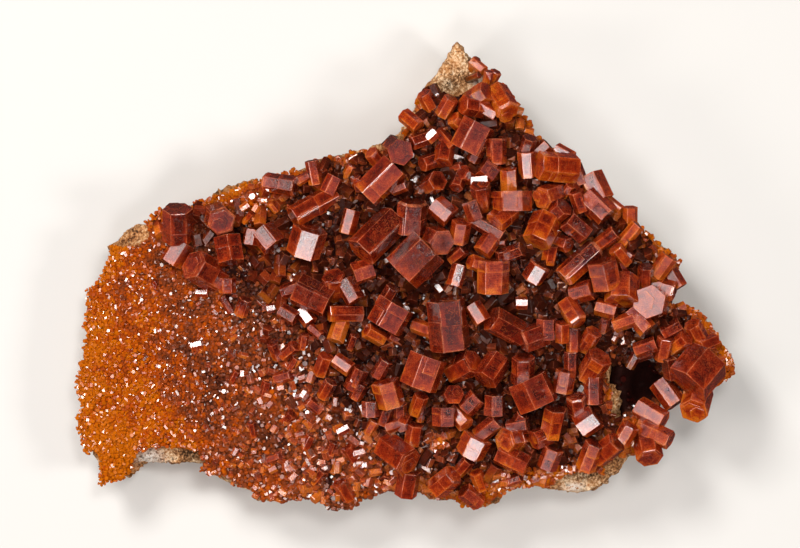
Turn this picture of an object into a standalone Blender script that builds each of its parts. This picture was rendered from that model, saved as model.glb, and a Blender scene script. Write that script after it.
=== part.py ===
"""Vanadinite on matrix, lying on its back with the crystals up.

The rock plate, the crust of fine crystals on it and the larger hexagonal crystals are built in one
frame: X along the longest side, Y toward the peak, Z up from the flat underside.
All sizes and places are in millimetres until MM turns them into metres.
"""

import math
import random

import bmesh
import bpy
from mathutils import Matrix, Vector
from mathutils.geometry import delaunay_2d_cdt

MM = 0.001
GAP = 0.3  # clearance that touching pieces keep

# Plan of the rock's widest line, clockwise from the tip of the peak.
OUTLINE = [
    (8.0, 35.2), (9.3, 34.3), (10.5, 33.2), (11.9, 32.3), (12.5, 30.5), (13.8, 29.6), (15.6, 28.4),
    (16.8, 26.9), (18.0, 24.8), (19.8, 21.9), (21.2, 20.3), (22.8, 19.1), (24.6, 18.3), (25.2, 16.7),
    (26.4, 15.2), (28.2, 14.0), (29.6, 12.5), (31.4, 11.3), (32.7, 10.1), (34.4, 8.7), (36.3, 7.4),
    (37.8, 5.9), (38.6, 4.5), (40.2, 3.8), (41.6, 2.6), (41.0, 1.1), (39.6, -0.5), (39.5, -2.3),
    (40.2, -3.8), (42.0, -3.8), (43.5, -4.4), (44.7, -5.4), (45.9, -6.9), (47.0, -8.6), (48.0, -10.5),
    (49.2, -12.3), (49.7, -14.0), (48.8, -15.2), (47.1, -16.2), (45.3, -17.0), (43.7, -17.9),
    (41.7, -18.0), (40.2, -17.4), (39.0, -18.2), (38.3, -19.7), (37.7, -21.5), (36.6, -23.3),
    (35.4, -24.8), (35.0, -26.4), (33.3, -27.8), (32.6, -29.4), (30.9, -30.8), (29.7, -32.0),
    (27.2, -32.7), (24.8, -32.9), (22.8, -32.3), (20.4, -32.0), (17.4, -31.4), (15.5, -32.3),
    (13.5, -33.3), (12.2, -34.5), (9.3, -34.5), (7.2, -33.6), (4.8, -33.5), (2.6, -32.6),
    (0.5, -32.0), (-2.1, -32.1), (-4.4, -32.9), (-6.3, -33.6), (-7.2, -34.7), (-9.0, -35.1),
    (-11.4, -34.7), (-13.4, -33.6), (-15.6, -33.5), (-18.2, -33.9), (-20.6, -34.1), (-23.1, -33.0),
    (-25.4, -31.7), (-27.6, -30.9), (-29.9, -30.0), (-31.4, -28.7), (-33.3, -28.5), (-35.9, -28.5),
    (-38.4, -28.4), (-40.4, -28.5), (-41.1, -29.6), (-42.5, -30.8), (-44.4, -31.2), (-45.6, -31.7),
    (-46.4, -30.8), (-46.7, -29.0), (-47.6, -27.3), (-48.6, -25.5), (-49.4, -23.3), (-49.5, -21.0),
    (-48.8, -19.4), (-49.5, -17.3), (-49.7, -15.8), (-49.1, -13.5), (-48.6, -11.3), (-48.0, -9.0),
    (-48.8, -7.2), (-48.6, -5.3), (-47.9, -3.5), (-48.2, -2.0), (-46.5, -0.9), (-45.5, 0.8),
    (-44.7, 2.6), (-44.3, 4.4), (-43.4, 5.9), (-41.6, 7.7), (-40.4, 8.6), (-38.7, 8.7), (-37.2, 10.4),
    (-34.8, 10.5), (-32.1, 11.1), (-29.7, 12.0), (-27.3, 12.8), (-23.9, 14.3), (-20.9, 15.0),
    (-17.9, 15.9), (-15.2, 16.8), (-12.6, 18.3), (-9.6, 18.9), (-7.1, 19.6), (-4.8, 19.7),
    (-1.8, 20.7), (-0.5, 22.4), (0.5, 24.0), (1.5, 26.1), (2.4, 27.8), (3.6, 29.4), (5.1, 31.2),
    (6.3, 32.9), (7.2, 34.5),
]

PLATE = 10.5  # mean thickness of the rock
HEART = (0.0, -5.0)  # point that the walls of the rock lean toward
# Rings of the rock's wall from the resting face up: share of the local height, plan scale, roughness.
WALL = [(0.0, 0.885, 0.0), (0.3, 0.95, 0.5), (0.72, 1.0, 0.0), (1.0, 0.985, 0.0)]
RIM_SCALE = WALL[-1][1]
WALL_LIFT = 0.8  # up and down jitter of the wall's rings
HOLLOW = (35.7, -16.2, 3.3, 3.6)  # centre and radii of the dark hollow between the right lobes
HOLLOW_DEPTH = 6.0
SWELL = (14.0, -2.0, 26.0, 24.0)  # the thickest part, under the large crystals
SWELL_HEIGHT = 3.0
FALL = (-50.0, -12.0, 16.0, 40.0)  # the thinner left edge
FALL_DEPTH = 2.0
EDGE_DROP = 2.2  # how far the rounded edge of the upper side drops
EDGE_REACH = 2.0
CELL = 5.0  # spacing of the points on the upper side
CELL_JITTER = 0.6
GRID_CORNER = (-50.0, -35.5)
GRID_SIZE = (100, 72)
RIM_CLEARANCE = 2.2  # inner points stay this far from the rim

# Bare rock, as ellipses: centre x, y and radii.
BARE = [
    (7.9, 31.2, 5.0, 4.6),
    (-41.6, 7.0, 3.8, 2.6),
    (-35.3, -27.6, 5.6, 2.4),
    (27.0, -31.9, 4.4, 2.2),
    (32.6, -28.9, 3.2, 2.8),
]

THIN_CRUST = 0.8
THICK_CRUST = 2.4  # under the large crystals

# Crystals: x, y, width across flats, length, heading and rise of the c axis, turn about it.
CRYSTALS = [
    # upper left
    (-33.8, 8.3, 4.0, 4.2, 90, 18, 0), (-33.8, 3.8, 3.3, 3.6, 61, 20, -15),
    (-30.2, 1.1, 4.2, 3.9, 150, 40, 0), (-27.5, 8.6, 3.9, 3.8, 225, 65, 0),
    (-26.1, 3.8, 3.9, 3.5, -80, 12, 25), (-22.7, 6.0, 2.3, 2.3, 80, 5, 0),
    (-20.1, 5.6, 3.6, 2.7, -53, 30, 0), (-14.4, 5.6, 4.5, 3.6, 72, 20, 0),
    (-26.4, -1.1, 2.3, 2.0, 90, 10, 0), (-17.0, -5.7, 2.1, 2.2, -30, 15, 10),
    (-18.2, 13.8, 2.6, 4.2, -10, 20, 0), (-13.8, 10.5, 3.0, 6.8, 210, 20, 10),
    (-3.5, 14.3, 4.2, 6.3, 44, 5, 10), (-0.8, 18.8, 3.6, 3.3, 250, 50, 0),
    (1.4, 23.0, 2.1, 2.4, -40, 20, 0), (-10.8, 13.8, 2.3, 2.7, 60, 20, 15),
    # left of the middle
    (-8.1, 8.3, 2.2, 3.6, 78, 25, 0), (-4.2, 5.9, 4.5, 6.8, 225, 20, 5),
    (-6.3, 0.8, 3.0, 2.7, 200, 25, 10), (1.1, 9.2, 3.9, 4.2, 85, 15, 0), (1.7, 2.6, 5.6, 5.7, 45, 5, 5),
    (-2.0, -5.7, 5.1, 4.2, 242, 15, 0), (-9.8, -8.1, 2.3, 3.2, 252, 10, 0),
    (-9.0, -5.4, 2.3, 4.5, 180, 15, 20), (-10.4, -0.8, 3.0, 2.7, 100, 45, 0),
    (-7.8, -2.4, 2.7, 3.0, -60, 15, 10), (-13.4, -2.9, 4.2, 5.1, -25, 5, 15),
    (-4.8, -8.4, 2.1, 2.2, 150, 25, 0),
    # peak and below it
    (11.4, 27.2, 2.7, 2.7, 30, 30, 0), (14.9, 25.7, 3.3, 3.6, -60, 40, 0),
    (9.9, 25.5, 2.7, 2.7, 170, 30, 10), (12.2, 25.0, 2.1, 3.3, -35, 35, 0),
    (3.4, 26.6, 2.1, 2.2, 120, 25, 0), (6.6, 25.8, 2.1, 2.2, 60, 25, 10),
    (10.2, 21.0, 4.5, 4.5, 50, 35, 30), (5.9, 17.9, 2.6, 2.4, 260, 30, 0),
    (3.6, 17.1, 2.1, 2.2, 200, 30, 10), (4.5, 14.0, 2.7, 2.6, 30, 60, 0),
    (13.8, 18.9, 2.6, 3.6, 90, 10, 0), (12.3, 16.1, 3.0, 3.0, -35, 5, 0),
    (9.3, 15.2, 2.2, 2.2, 150, 45, 0), (11.4, 12.6, 2.6, 3.0, 100, 40, 0),
    (15.6, 14.7, 2.4, 3.0, 95, 15, 20), (18.3, 17.1, 2.4, 3.3, 95, 30, 0),
    (8.0, 23.1, 2.1, 2.2, 140, 30, 0),
    # middle
    (6.0, 9.6, 3.0, 2.7, -45, 35, 10), (16.1, 11.3, 5.1, 3.0, -90, 8, 10),
    (14.3, 8.7, 3.0, 2.7, 220, 30, 0), (12.2, 4.5, 2.6, 2.4, 235, 10, 0),
    (10.2, 10.1, 2.3, 2.7, 110, 10, 15), (8.4, 7.2, 2.6, 2.4, 80, 20, 0), (5.0, 5.4, 3.5, 3.0, -30, 60, 0),
    (10.7, 2.0, 2.1, 2.2, 160, 25, 0), (16.7, 3.8, 2.1, 2.2, 20, 25, 10), (13.2, 0.2, 4.1, 4.7, 90, 10, 0),
    (7.8, 0.0, 2.1, 3.0, -105, 35, 0), (6.5, -6.8, 5.1, 7.2, 98, 3, 15),
    (11.1, -5.6, 2.4, 2.7, -60, 25, 0), (14.9, -7.2, 3.6, 4.8, 150, 20, 0),
    (17.4, -3.9, 1.7, 1.9, 0, 8, 0),
    # upper right
    (20.7, 19.0, 2.1, 2.4, 45, 30, 0), (22.4, 16.4, 3.9, 5.1, 175, 20, 10),
    (21.3, 12.0, 3.0, 2.7, 200, 45, 0), (23.0, 9.8, 2.7, 2.6, 40, 35, 0),
    (28.7, 13.1, 3.6, 3.9, -65, 10, 10), (28.8, 10.4, 3.6, 4.2, -45, 10, 0),
    (25.9, 11.7, 2.1, 2.4, 110, 20, 0), (20.3, 6.6, 3.9, 3.6, 245, 25, 0),
    (21.8, 3.8, 2.1, 2.2, 80, 20, 15), (19.8, 0.9, 3.0, 3.6, 245, 15, -15),
    (23.7, 5.0, 2.1, 2.2, -20, 40, 0), (25.4, 7.7, 3.0, 3.3, 140, 15, 15),
    (26.0, 2.0, 3.0, 6.6, 222, 10, 10), (29.7, 0.8, 4.2, 3.6, 100, 10, 30),
    (26.9, -2.1, 2.7, 2.4, 15, 25, 0), (30.3, 5.7, 2.1, 3.3, 38, 15, 0), (32.0, 3.6, 2.1, 2.2, 130, 25, 0),
    (32.4, -2.3, 4.5, 3.0, -95, 25, 10), (36.9, -3.8, 4.5, 3.9, 45, 55, 0),
    (38.7, 1.7, 2.3, 3.3, 55, 10, 0), (40.5, -0.5, 2.4, 2.7, -60, 20, 0), (36.0, 0.6, 2.1, 2.2, 90, 30, 0),
    (38.7, -1.8, 2.7, 3.6, -15, 15, 0), (35.2, -6.6, 2.6, 3.6, -50, 15, 0),
    (25.2, -5.6, 2.7, 3.0, -60, 25, 15), (30.3, -4.8, 2.3, 2.7, -15, 10, 0),
    (21.2, -7.5, 2.7, 2.7, 90, 5, 0), (23.6, -7.8, 2.1, 2.2, 90, 20, 20),
    (19.1, -9.0, 3.3, 3.6, 200, 15, 10), (27.8, -8.9, 2.3, 2.3, 60, 35, 0),
    (33.0, -6.6, 2.1, 3.0, 20, 10, 0),
    # lower middle
    (2.9, -14.0, 5.1, 5.1, -105, 20, -10), (-2.4, -17.0, 3.6, 3.4, 105, 15, 0),
    (9.3, -13.1, 3.6, 3.0, 30, 40, 0), (12.8, -14.1, 3.5, 3.3, 235, 25, 0),
    (17.7, -13.4, 3.0, 3.2, 90, 25, 0), (19.2, -17.1, 5.6, 4.4, 114, 5, 10),
    (7.2, -17.6, 2.7, 2.3, 30, 75, 0), (10.1, -18.6, 2.6, 2.4, 45, 10, 0),
    (13.5, -18.8, 2.7, 2.7, 90, 10, 15), (6.0, -20.6, 3.3, 2.6, 90, 5, 15),
    (8.6, -21.3, 2.3, 2.4, -50, 25, 0), (-5.0, -19.5, 2.3, 2.1, 90, 10, 0),
    (-0.3, -21.6, 2.1, 2.2, 240, 40, 0), (1.5, -23.1, 2.3, 2.4, 80, 20, 15),
    (-7.0, -14.9, 2.3, 3.0, 65, 15, 0), (-8.9, -13.2, 2.1, 2.4, -35, 15, 0),
    (-11.9, -12.6, 2.1, 2.2, 70, 30, 15), (-0.6, -26.7, 4.2, 3.9, -35, 35, 20),
    (10.5, -24.9, 3.9, 3.8, 250, 10, 30), (12.8, -22.3, 2.4, 3.3, 40, 15, 10),
    (15.9, -24.2, 3.3, 3.0, 200, 60, 0), (16.4, -27.3, 3.0, 4.5, -25, 10, 15),
    (6.5, -30.2, 3.0, 3.0, 40, 30, 0), (0.6, -30.4, 3.0, 3.2, 80, 20, 10),
    (-9.2, -31.5, 2.1, 2.2, 120, 30, 0), (17.4, -22.2, 2.3, 2.4, 10, 20, 0),
    (20.4, -23.9, 2.7, 2.7, 200, 25, 15), (21.9, -26.7, 2.7, 2.7, 70, 15, 0),
    (9.8, -32.6, 2.4, 2.5, 140, 20, 0),
    # lower right and the lobes
    (28.2, -16.7, 2.5, 3.9, 90, 10, 0), (28.5, -12.9, 3.3, 3.1, 60, 35, 0),
    (27.6, -21.4, 3.5, 2.7, 35, 12, 0), (22.2, -21.3, 3.0, 3.8, 80, 20, 20),
    (23.9, -15.2, 2.7, 2.7, 80, 15, 0), (25.8, -18.9, 2.7, 2.8, 100, 30, 0),
    (27.9, -26.3, 2.7, 3.6, 70, 20, 0), (30.6, -25.4, 3.0, 3.2, 40, 30, 10),
    (33.2, -23.2, 2.4, 2.8, 60, 20, 0), (43.6, -14.3, 6.3, 4.6, 229, 18, -8),
    (43.6, -19.0, 3.9, 3.4, 250, 50, 0), (39.6, -17.6, 3.0, 3.9, -55, 15, 0),
    (37.3, -20.7, 2.9, 3.9, -30, 20, 0), (38.1, -23.6, 2.7, 3.9, -25, 20, 15),
    (36.5, -25.8, 3.6, 3.3, -80, 40, 0), (40.2, -7.7, 2.1, 2.7, 30, 10, 0),
    (38.9, -10.2, 2.4, 2.7, 80, 25, 0), (41.4, -9.6, 2.3, 2.4, 40, 35, 0),
    (43.4, -7.9, 2.4, 2.4, 120, 30, 0), (36.2, -10.4, 2.1, 3.0, 20, 10, 0),
    (39.8, -12.8, 2.4, 2.4, 100, 30, 10), (44.6, -10.2, 2.1, 2.2, 200, 40, 0),
]

BURY = 0.45  # share of a crystal's half height that stands clear of its middle
ROOT = 2.4  # how much further a standing crystal reaches down into the crust
LONE_FACES = 14  # a piece with more faces than this is several crystals grown together
SMALLEST_PIECE = 1.0  # volume in cubic mm under which a scrap left by the cut is dropped

FINE_COUNT = 24
FINE_WIDTH = (1.1, 1.8)
FINE_SHAPE = (0.9, 1.4)  # length over width
FINE_RISE = (10, 50)
FINE_FIELD_X = (-47, 20)
FINE_FIELD_Y = (-33, 12)
FINE_EDGE = 2.5  # clearance from the rock's outline
FINE_BARE_REACH = 3.0
FINE_CLEARANCE = 1.8  # from a large crystal
FINE_APART = 2.6
FINE_SHARE = (0.25, 1.5)  # how many are kept in the fine field, and how many more by the crystal zone

RED = (0.42, 0.035, 0.008)
ORANGE = (0.55, 0.13, 0.02)
TAN = (0.52, 0.34, 0.20)


# ---------------------------------------------------------------- plan and heights


def edge_distance(x, y):
    """Distance from a plan point to the rock's outline."""
    nearest = 1000.0
    for (ax, ay), (bx, by) in zip(OUTLINE, OUTLINE[1:] + OUTLINE[:1]):
        dx, dy = bx - ax, by - ay
        t = max(0.0, min(1.0, ((x - ax) * dx + (y - ay) * dy) / (dx * dx + dy * dy)))
        nearest = min(nearest, math.hypot(x - ax - t * dx, y - ay - t * dy))
    return nearest


def inside_outline(x, y):
    """Even-odd test of a plan point against the outline."""
    inside = False
    for (ax, ay), (bx, by) in zip(OUTLINE, OUTLINE[1:] + OUTLINE[:1]):
        if (ay > y) != (by > y) and x < ax + (y - ay) / (by - ay) * (bx - ax):
            inside = not inside
    return inside


def bump(x, y, cx, cy, rx, ry):
    """Smooth bell, 1 at its centre."""
    return math.exp(-(((x - cx) / rx) ** 2) - ((y - cy) / ry) ** 2)


def rock_height(x, y):
    """Height of the rock's broken upper side."""
    depth_in = edge_distance(x, y) if inside_outline(x, y) else 0.0
    swell = SWELL_HEIGHT * bump(x, y, *SWELL)
    fall = -FALL_DEPTH * bump(x, y, *FALL)
    hollow = -HOLLOW_DEPTH * bump(x, y, *HOLLOW)
    lumps = 0.5 * math.sin(0.41 * x + 1.3) * math.sin(0.37 * y + 0.4) + 0.25 * math.sin(0.9 * x - 0.7 * y)
    edge = -EDGE_DROP * math.exp(-depth_in / EDGE_REACH)
    return PLATE + swell + fall + hollow + lumps + edge


def crystal_zone(x, y):
    """0 in the field of fine druse at the lower left, 1 where the large crystals grow."""
    across = ((x + 30.0) * 30.0 + (y + 2.0) * 28.0) / 41.0
    t = max(0.0, min(1.0, (across + 1.0) / 9.0))
    return t * t * (3.0 - 2.0 * t)


def crust_thickness(x, y):
    thick = THIN_CRUST + (THICK_CRUST - THIN_CRUST) * crystal_zone(x, y)
    return thick - (thick - THIN_CRUST) * bump(x, y, *HOLLOW)


def crust_foot(x, y):
    return rock_height(x, y) + GAP


def crust_top(x, y):
    return crust_foot(x, y) + crust_thickness(x, y)


def crystal_foot(x, y):
    return crust_top(x, y) + GAP


def is_bare(x, y, reach=1.0):
    """Whether a plan point is on bare rock; a larger reach widens the bare patches."""
    return any(((x - cx) / rx) ** 2 + ((y - cy) / ry) ** 2 < reach**2 for cx, cy, rx, ry in BARE)


def scaled(point, scale):
    return tuple(h + (p - h) * scale for p, h in zip(point, HEART))


def widened(ring, distance):
    """The ring moved outward along its own normals (the ring runs clockwise)."""
    moved = []
    for before, here, after in zip(ring[-1:] + ring[:-1], ring, ring[1:] + ring[:1]):
        along = Vector(after) - Vector(before)
        normal = Vector((-along.y, along.x)).normalized()
        moved.append((here[0] + normal.x * distance, here[1] + normal.y * distance))
    return moved


def plan_mesh():
    """Points and triangles of the upper side: the rim first, then jittered points inside it."""
    rng = random.Random(5)
    rim = [scaled(p, RIM_SCALE) for p in OUTLINE]
    points = list(rim)
    columns, rows = (int(size / CELL) for size in GRID_SIZE)
    for i in range(columns + 1):
        for j in range(rows + 1):
            x = GRID_CORNER[0] + (i + 0.5 * (j % 2)) * CELL + rng.uniform(-CELL_JITTER, CELL_JITTER)
            y = GRID_CORNER[1] + j * CELL + rng.uniform(-CELL_JITTER, CELL_JITTER)
            if inside_outline(x, y) and edge_distance(x, y) > RIM_CLEARANCE:
                points.append((x, y))
    loop = [list(range(len(rim)))]
    found = delaunay_2d_cdt([Vector(p) for p in points], [], loop, 1, 1e-6)
    return [tuple(p) for p in found[0]], [tuple(f) for f in found[2]]


# ---------------------------------------------------------------- meshes


def new_object(name, mesh, collection):
    thing = bpy.data.objects.new(name, mesh)
    collection.objects.link(thing)
    return thing


def mesh_from(name, points, faces):
    """A mesh from points in millimetres, with its normals turned outward."""
    mesh = bpy.data.meshes.new(name)
    mesh.from_pydata([Vector(p) * MM for p in points], [], faces)
    shell = bmesh.new()
    shell.from_mesh(mesh)
    bmesh.ops.recalc_face_normals(shell, faces=shell.faces[:])
    shell.to_mesh(mesh)
    shell.free()
    return mesh


def boundary_loops(faces):
    """Directed border edges of a set of triangles."""
    edges = {(f[i], f[(i + 1) % 3]) for f in faces for i in range(3)}
    return [(a, b) for a, b in edges if (b, a) not in edges]


def joined_patch(faces, seed):
    """The triangles that can be reached from the seed triangle across shared edges."""
    left = set(faces)
    left.discard(seed)
    reached, stack = [seed], [seed]
    while stack:
        here = set(stack.pop())
        for near in [f for f in left if len(here & set(f)) == 2]:
            left.discard(near)
            reached.append(near)
            stack.append(near)
    return reached


def slab_between(name, plan, faces, lower, upper):
    """A closed skin: the same plan triangles at two heights, walled along their border."""
    used = sorted({v for f in faces for v in f})
    place = {v: i for i, v in enumerate(used)}
    count = len(used)
    points = [(*plan[v], lower(*plan[v])) for v in used] + [(*plan[v], upper(*plan[v])) for v in used]
    skin = [tuple(place[v] for v in reversed(f)) for f in faces]
    skin += [tuple(place[v] + count for v in f) for f in faces]
    walls = sorted(boundary_loops(faces))
    skin += [(place[a], place[b], place[b] + count, place[a] + count) for a, b in walls]
    return mesh_from(name, points, skin)


def lofted_rock(name, plan, faces, rings, top_height):
    """A solid with a triangulated top, walls through the given rings and a flat underside."""
    size = len(OUTLINE)
    points = [(*p, top_height(*p)) for p in plan]
    skin = list(faces)
    above = list(range(size))
    for ring in reversed(rings):
        start = len(points)
        points += ring
        here = list(range(start, start + size))
        skin += [(above[i], above[(i + 1) % size], here[(i + 1) % size], here[i]) for i in range(size)]
        above = here
    skin.append(tuple(above))
    return mesh_from(name, points, skin)


def rock_rings():
    """Rings of the wall below the rim, from the resting face up."""
    rng = random.Random(11)
    rings = []
    for share, scale, rough in WALL[:-1]:
        ring = []
        for point in OUTLINE:
            x, y = scaled(point, scale)
            x, y = x + rng.uniform(-rough, rough), y + rng.uniform(-rough, rough)
            lift = rng.uniform(-WALL_LIFT, WALL_LIFT) if share > 0.0 else 0.0
            ring.append((x, y, rock_height(*scaled(point, RIM_SCALE)) * share + lift))
        rings.append(ring)
    return rings


def crystal_frame(heading, rise, turn):
    """Axes of a prism: Z along the c axis, Y out of the prism face turned up."""
    heading, rise, turn = (math.radians(a) for a in (heading, rise, turn))
    c_axis = Vector((math.cos(rise) * math.cos(heading), math.cos(rise) * math.sin(heading), math.sin(rise)))
    up = (Vector((0, 0, 1)) - c_axis * c_axis.z).normalized()
    face = Matrix.Rotation(turn, 3, c_axis) @ up
    side = face.cross(c_axis)
    return Matrix((side, face, c_axis)).transposed()


def add_crystal(shell, x, y, width, length, heading, rise, turn, root=ROOT):
    """One hexagonal prism, sunk into the crust, added to a bmesh in metres."""
    frame = crystal_frame(heading, rise, turn)
    c_axis = frame.col[2]
    half_height = 0.5 * (length * c_axis.z + width * math.hypot(c_axis.x, c_axis.y))
    root = root * c_axis.z
    middle = Vector((x, y, crust_top(x, y) + BURY * half_height)) - c_axis * (root / 2.0)
    pose = Matrix.Translation(middle * MM) @ frame.to_4x4()
    radius = width / math.sqrt(3.0) * MM
    bmesh.ops.create_cone(
        shell, cap_ends=True, segments=6, radius1=radius, radius2=radius,
        depth=(length + root) * MM, matrix=pose,
    )


def prisms(name, rows):
    shell = bmesh.new()
    for row in rows:
        add_crystal(shell, *row)
    mesh = bpy.data.meshes.new(name)
    shell.to_mesh(mesh)
    shell.free()
    return mesh


def add_boolean(thing, operation, cutter):
    cut = thing.modifiers.new(operation.lower(), "BOOLEAN")
    cut.operation = operation
    cut.object = cutter
    cut.solver = "EXACT"
    cut.use_self = True


def evaluated_mesh(thing):
    bpy.context.view_layer.update()
    graph = bpy.context.evaluated_depsgraph_get()
    return bpy.data.meshes.new_from_object(thing.evaluated_get(graph))


def loose_pieces(mesh):
    """Each connected piece of a mesh as a bmesh of its own, largest first."""
    whole = bmesh.new()
    whole.from_mesh(mesh)
    left = set(whole.verts)
    pieces = []
    while left:
        stack = [left.pop()]
        island = set(stack)
        while stack:
            for edge in stack.pop().link_edges:
                for vert in edge.verts:
                    if vert in left:
                        left.remove(vert)
                        island.add(vert)
                        stack.append(vert)
        piece = whole.copy()
        piece.verts.ensure_lookup_table()
        keep = {v.index for v in island}
        gone = [v for v in piece.verts if v.index not in keep]
        bmesh.ops.delete(piece, geom=gone, context="VERTS")
        pieces.append(piece)
    whole.free()
    return sorted(pieces, key=lambda p: -p.calc_volume())


# ---------------------------------------------------------------- pieces of the object


def material(name, colour, roughness):
    made = bpy.data.materials.new(name)
    made.use_nodes = True
    shader = made.node_tree.nodes["Principled BSDF"]
    shader.inputs["Base Color"].default_value = (*colour, 1.0)
    shader.inputs["Roughness"].default_value = roughness
    shader.inputs["Metallic"].default_value = 0.0
    return made


def make_matrix(parts, plan, faces):
    rock = new_object("matrix", lofted_rock("matrix", plan, faces, rock_rings(), rock_height), parts)
    rock.data.materials.append(material("tan rock", TAN, 0.9))


def make_crust(parts, guides, plan, faces):
    covered = [f for f in faces if not any(is_bare(*plan[v]) for v in f)]
    covered = joined_patch(covered, min(covered, key=lambda f: math.hypot(*plan[f[0]])))
    skin = slab_between("druse_crust", plan, covered, crust_foot, crust_top)
    crust = new_object("druse_crust", skin, parts)
    fine = new_object("fine_crystals", prisms("fine_crystals", fine_rows()), guides)
    add_boolean(crust, "UNION", fine)
    crust.data.materials.append(material("fine vanadinite", ORANGE, 0.35))


def near_crystal(x, y):
    """Whether a small crystal here would touch one of the large ones."""
    return any(
        math.hypot(x - row[0], y - row[1]) < 0.5 * math.hypot(row[2], row[3] + ROOT) + FINE_CLEARANCE
        for row in CRYSTALS
    )


def fine_rows():
    """Small crystals fused in the crust, where no large ones cover it."""
    rng = random.Random(21)
    rows = []
    least, more = FINE_SHARE
    while len(rows) < FINE_COUNT:
        x, y = rng.uniform(*FINE_FIELD_X), rng.uniform(*FINE_FIELD_Y)
        zone = crystal_zone(x, y)
        if not inside_outline(x, y) or edge_distance(x, y) < FINE_EDGE or is_bare(x, y, FINE_BARE_REACH):
            continue
        if rng.random() > least + more * zone or near_crystal(x, y):
            continue
        if any(math.hypot(x - r[0], y - r[1]) < FINE_APART for r in rows):
            continue
        width = rng.uniform(*FINE_WIDTH)
        length = width * rng.uniform(*FINE_SHAPE)
        rows.append((x, y, width, length, rng.uniform(0, 360), rng.uniform(*FINE_RISE), 0, 0.0))
    return rows


def make_crystals(parts, guides, plan, faces):
    """All large crystals, trimmed clear of the crust and the rock, one node for each piece left."""
    inner = [scaled(p, RIM_SCALE) for p in OUTLINE]
    levels = [crystal_foot(*p) for p in inner]
    rim = [(*p, z - GAP / 2) for p, z in zip(widened(inner, GAP), levels)]
    wide = [(*p, z * WALL[-2][0] + WALL_LIFT) for p, z in zip(widened(OUTLINE, GAP), levels)]
    foot = [(x, y, 0.0) for x, y, _ in wide]
    bed = lofted_rock("bed_cutter", plan, faces, [foot, wide, rim], crystal_foot)
    cutter = new_object("bed_cutter", bed, guides)
    grown = new_object("grown_crystals", prisms("grown_crystals", CRYSTALS), guides)
    add_boolean(grown, "DIFFERENCE", cutter)
    pieces = [p for p in loose_pieces(evaluated_mesh(grown)) if p.calc_volume() > SMALLEST_PIECE * MM**3]
    count = {"cluster": 0, "crystal": 0}
    for piece in pieces:
        kind = "cluster" if len(piece.faces) > LONE_FACES else "crystal"
        count[kind] += 1
        name = f"{kind}_{count[kind]:02d}"
        mesh = bpy.data.meshes.new(name)
        piece.to_mesh(mesh)
        piece.free()
        node = new_object(name, mesh, parts)
        node.data.materials.append(material(name, RED, 0.15))


def clear_scene():
    for thing in list(bpy.data.objects):
        bpy.data.objects.remove(thing, do_unlink=True)


def hide(collection):
    for thing in collection.objects:
        thing.hide_render = True
        thing.display_type = "WIRE"


def main():
    clear_scene()
    parts = bpy.data.collections.new("vanadinite_on_matrix")
    guides = bpy.data.collections.new("cutters")
    bpy.context.scene.collection.children.link(parts)
    bpy.context.scene.collection.children.link(guides)
    plan, faces = plan_mesh()
    make_matrix(parts, plan, faces)
    make_crust(parts, guides, plan, faces)
    make_crystals(parts, guides, plan, faces)
    hide(guides)


main()
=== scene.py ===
"""Looks of the vanadinite specimen: dense rock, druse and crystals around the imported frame.

The specimen lies crystal side up. Lengths are in millimetres until MM turns them into metres.
"""

import math

import bpy
import numpy as np
from mathutils import Matrix, Vector, noise


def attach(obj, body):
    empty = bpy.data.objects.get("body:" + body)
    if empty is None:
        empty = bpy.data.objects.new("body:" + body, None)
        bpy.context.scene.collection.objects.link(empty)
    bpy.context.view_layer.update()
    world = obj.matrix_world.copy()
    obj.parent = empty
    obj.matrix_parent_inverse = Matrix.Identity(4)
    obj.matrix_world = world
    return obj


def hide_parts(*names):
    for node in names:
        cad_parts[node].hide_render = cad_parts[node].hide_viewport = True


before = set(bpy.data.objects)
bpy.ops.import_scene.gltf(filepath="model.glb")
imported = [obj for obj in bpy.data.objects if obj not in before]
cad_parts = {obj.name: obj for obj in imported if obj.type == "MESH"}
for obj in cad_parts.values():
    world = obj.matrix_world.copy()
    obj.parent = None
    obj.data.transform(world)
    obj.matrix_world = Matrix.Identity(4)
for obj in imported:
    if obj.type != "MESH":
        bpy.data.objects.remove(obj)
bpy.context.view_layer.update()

MM = 0.001
GAP = 0.3  # between the rock and the crust

# ---------------------------------------------------------------- plan of the specimen

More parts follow.
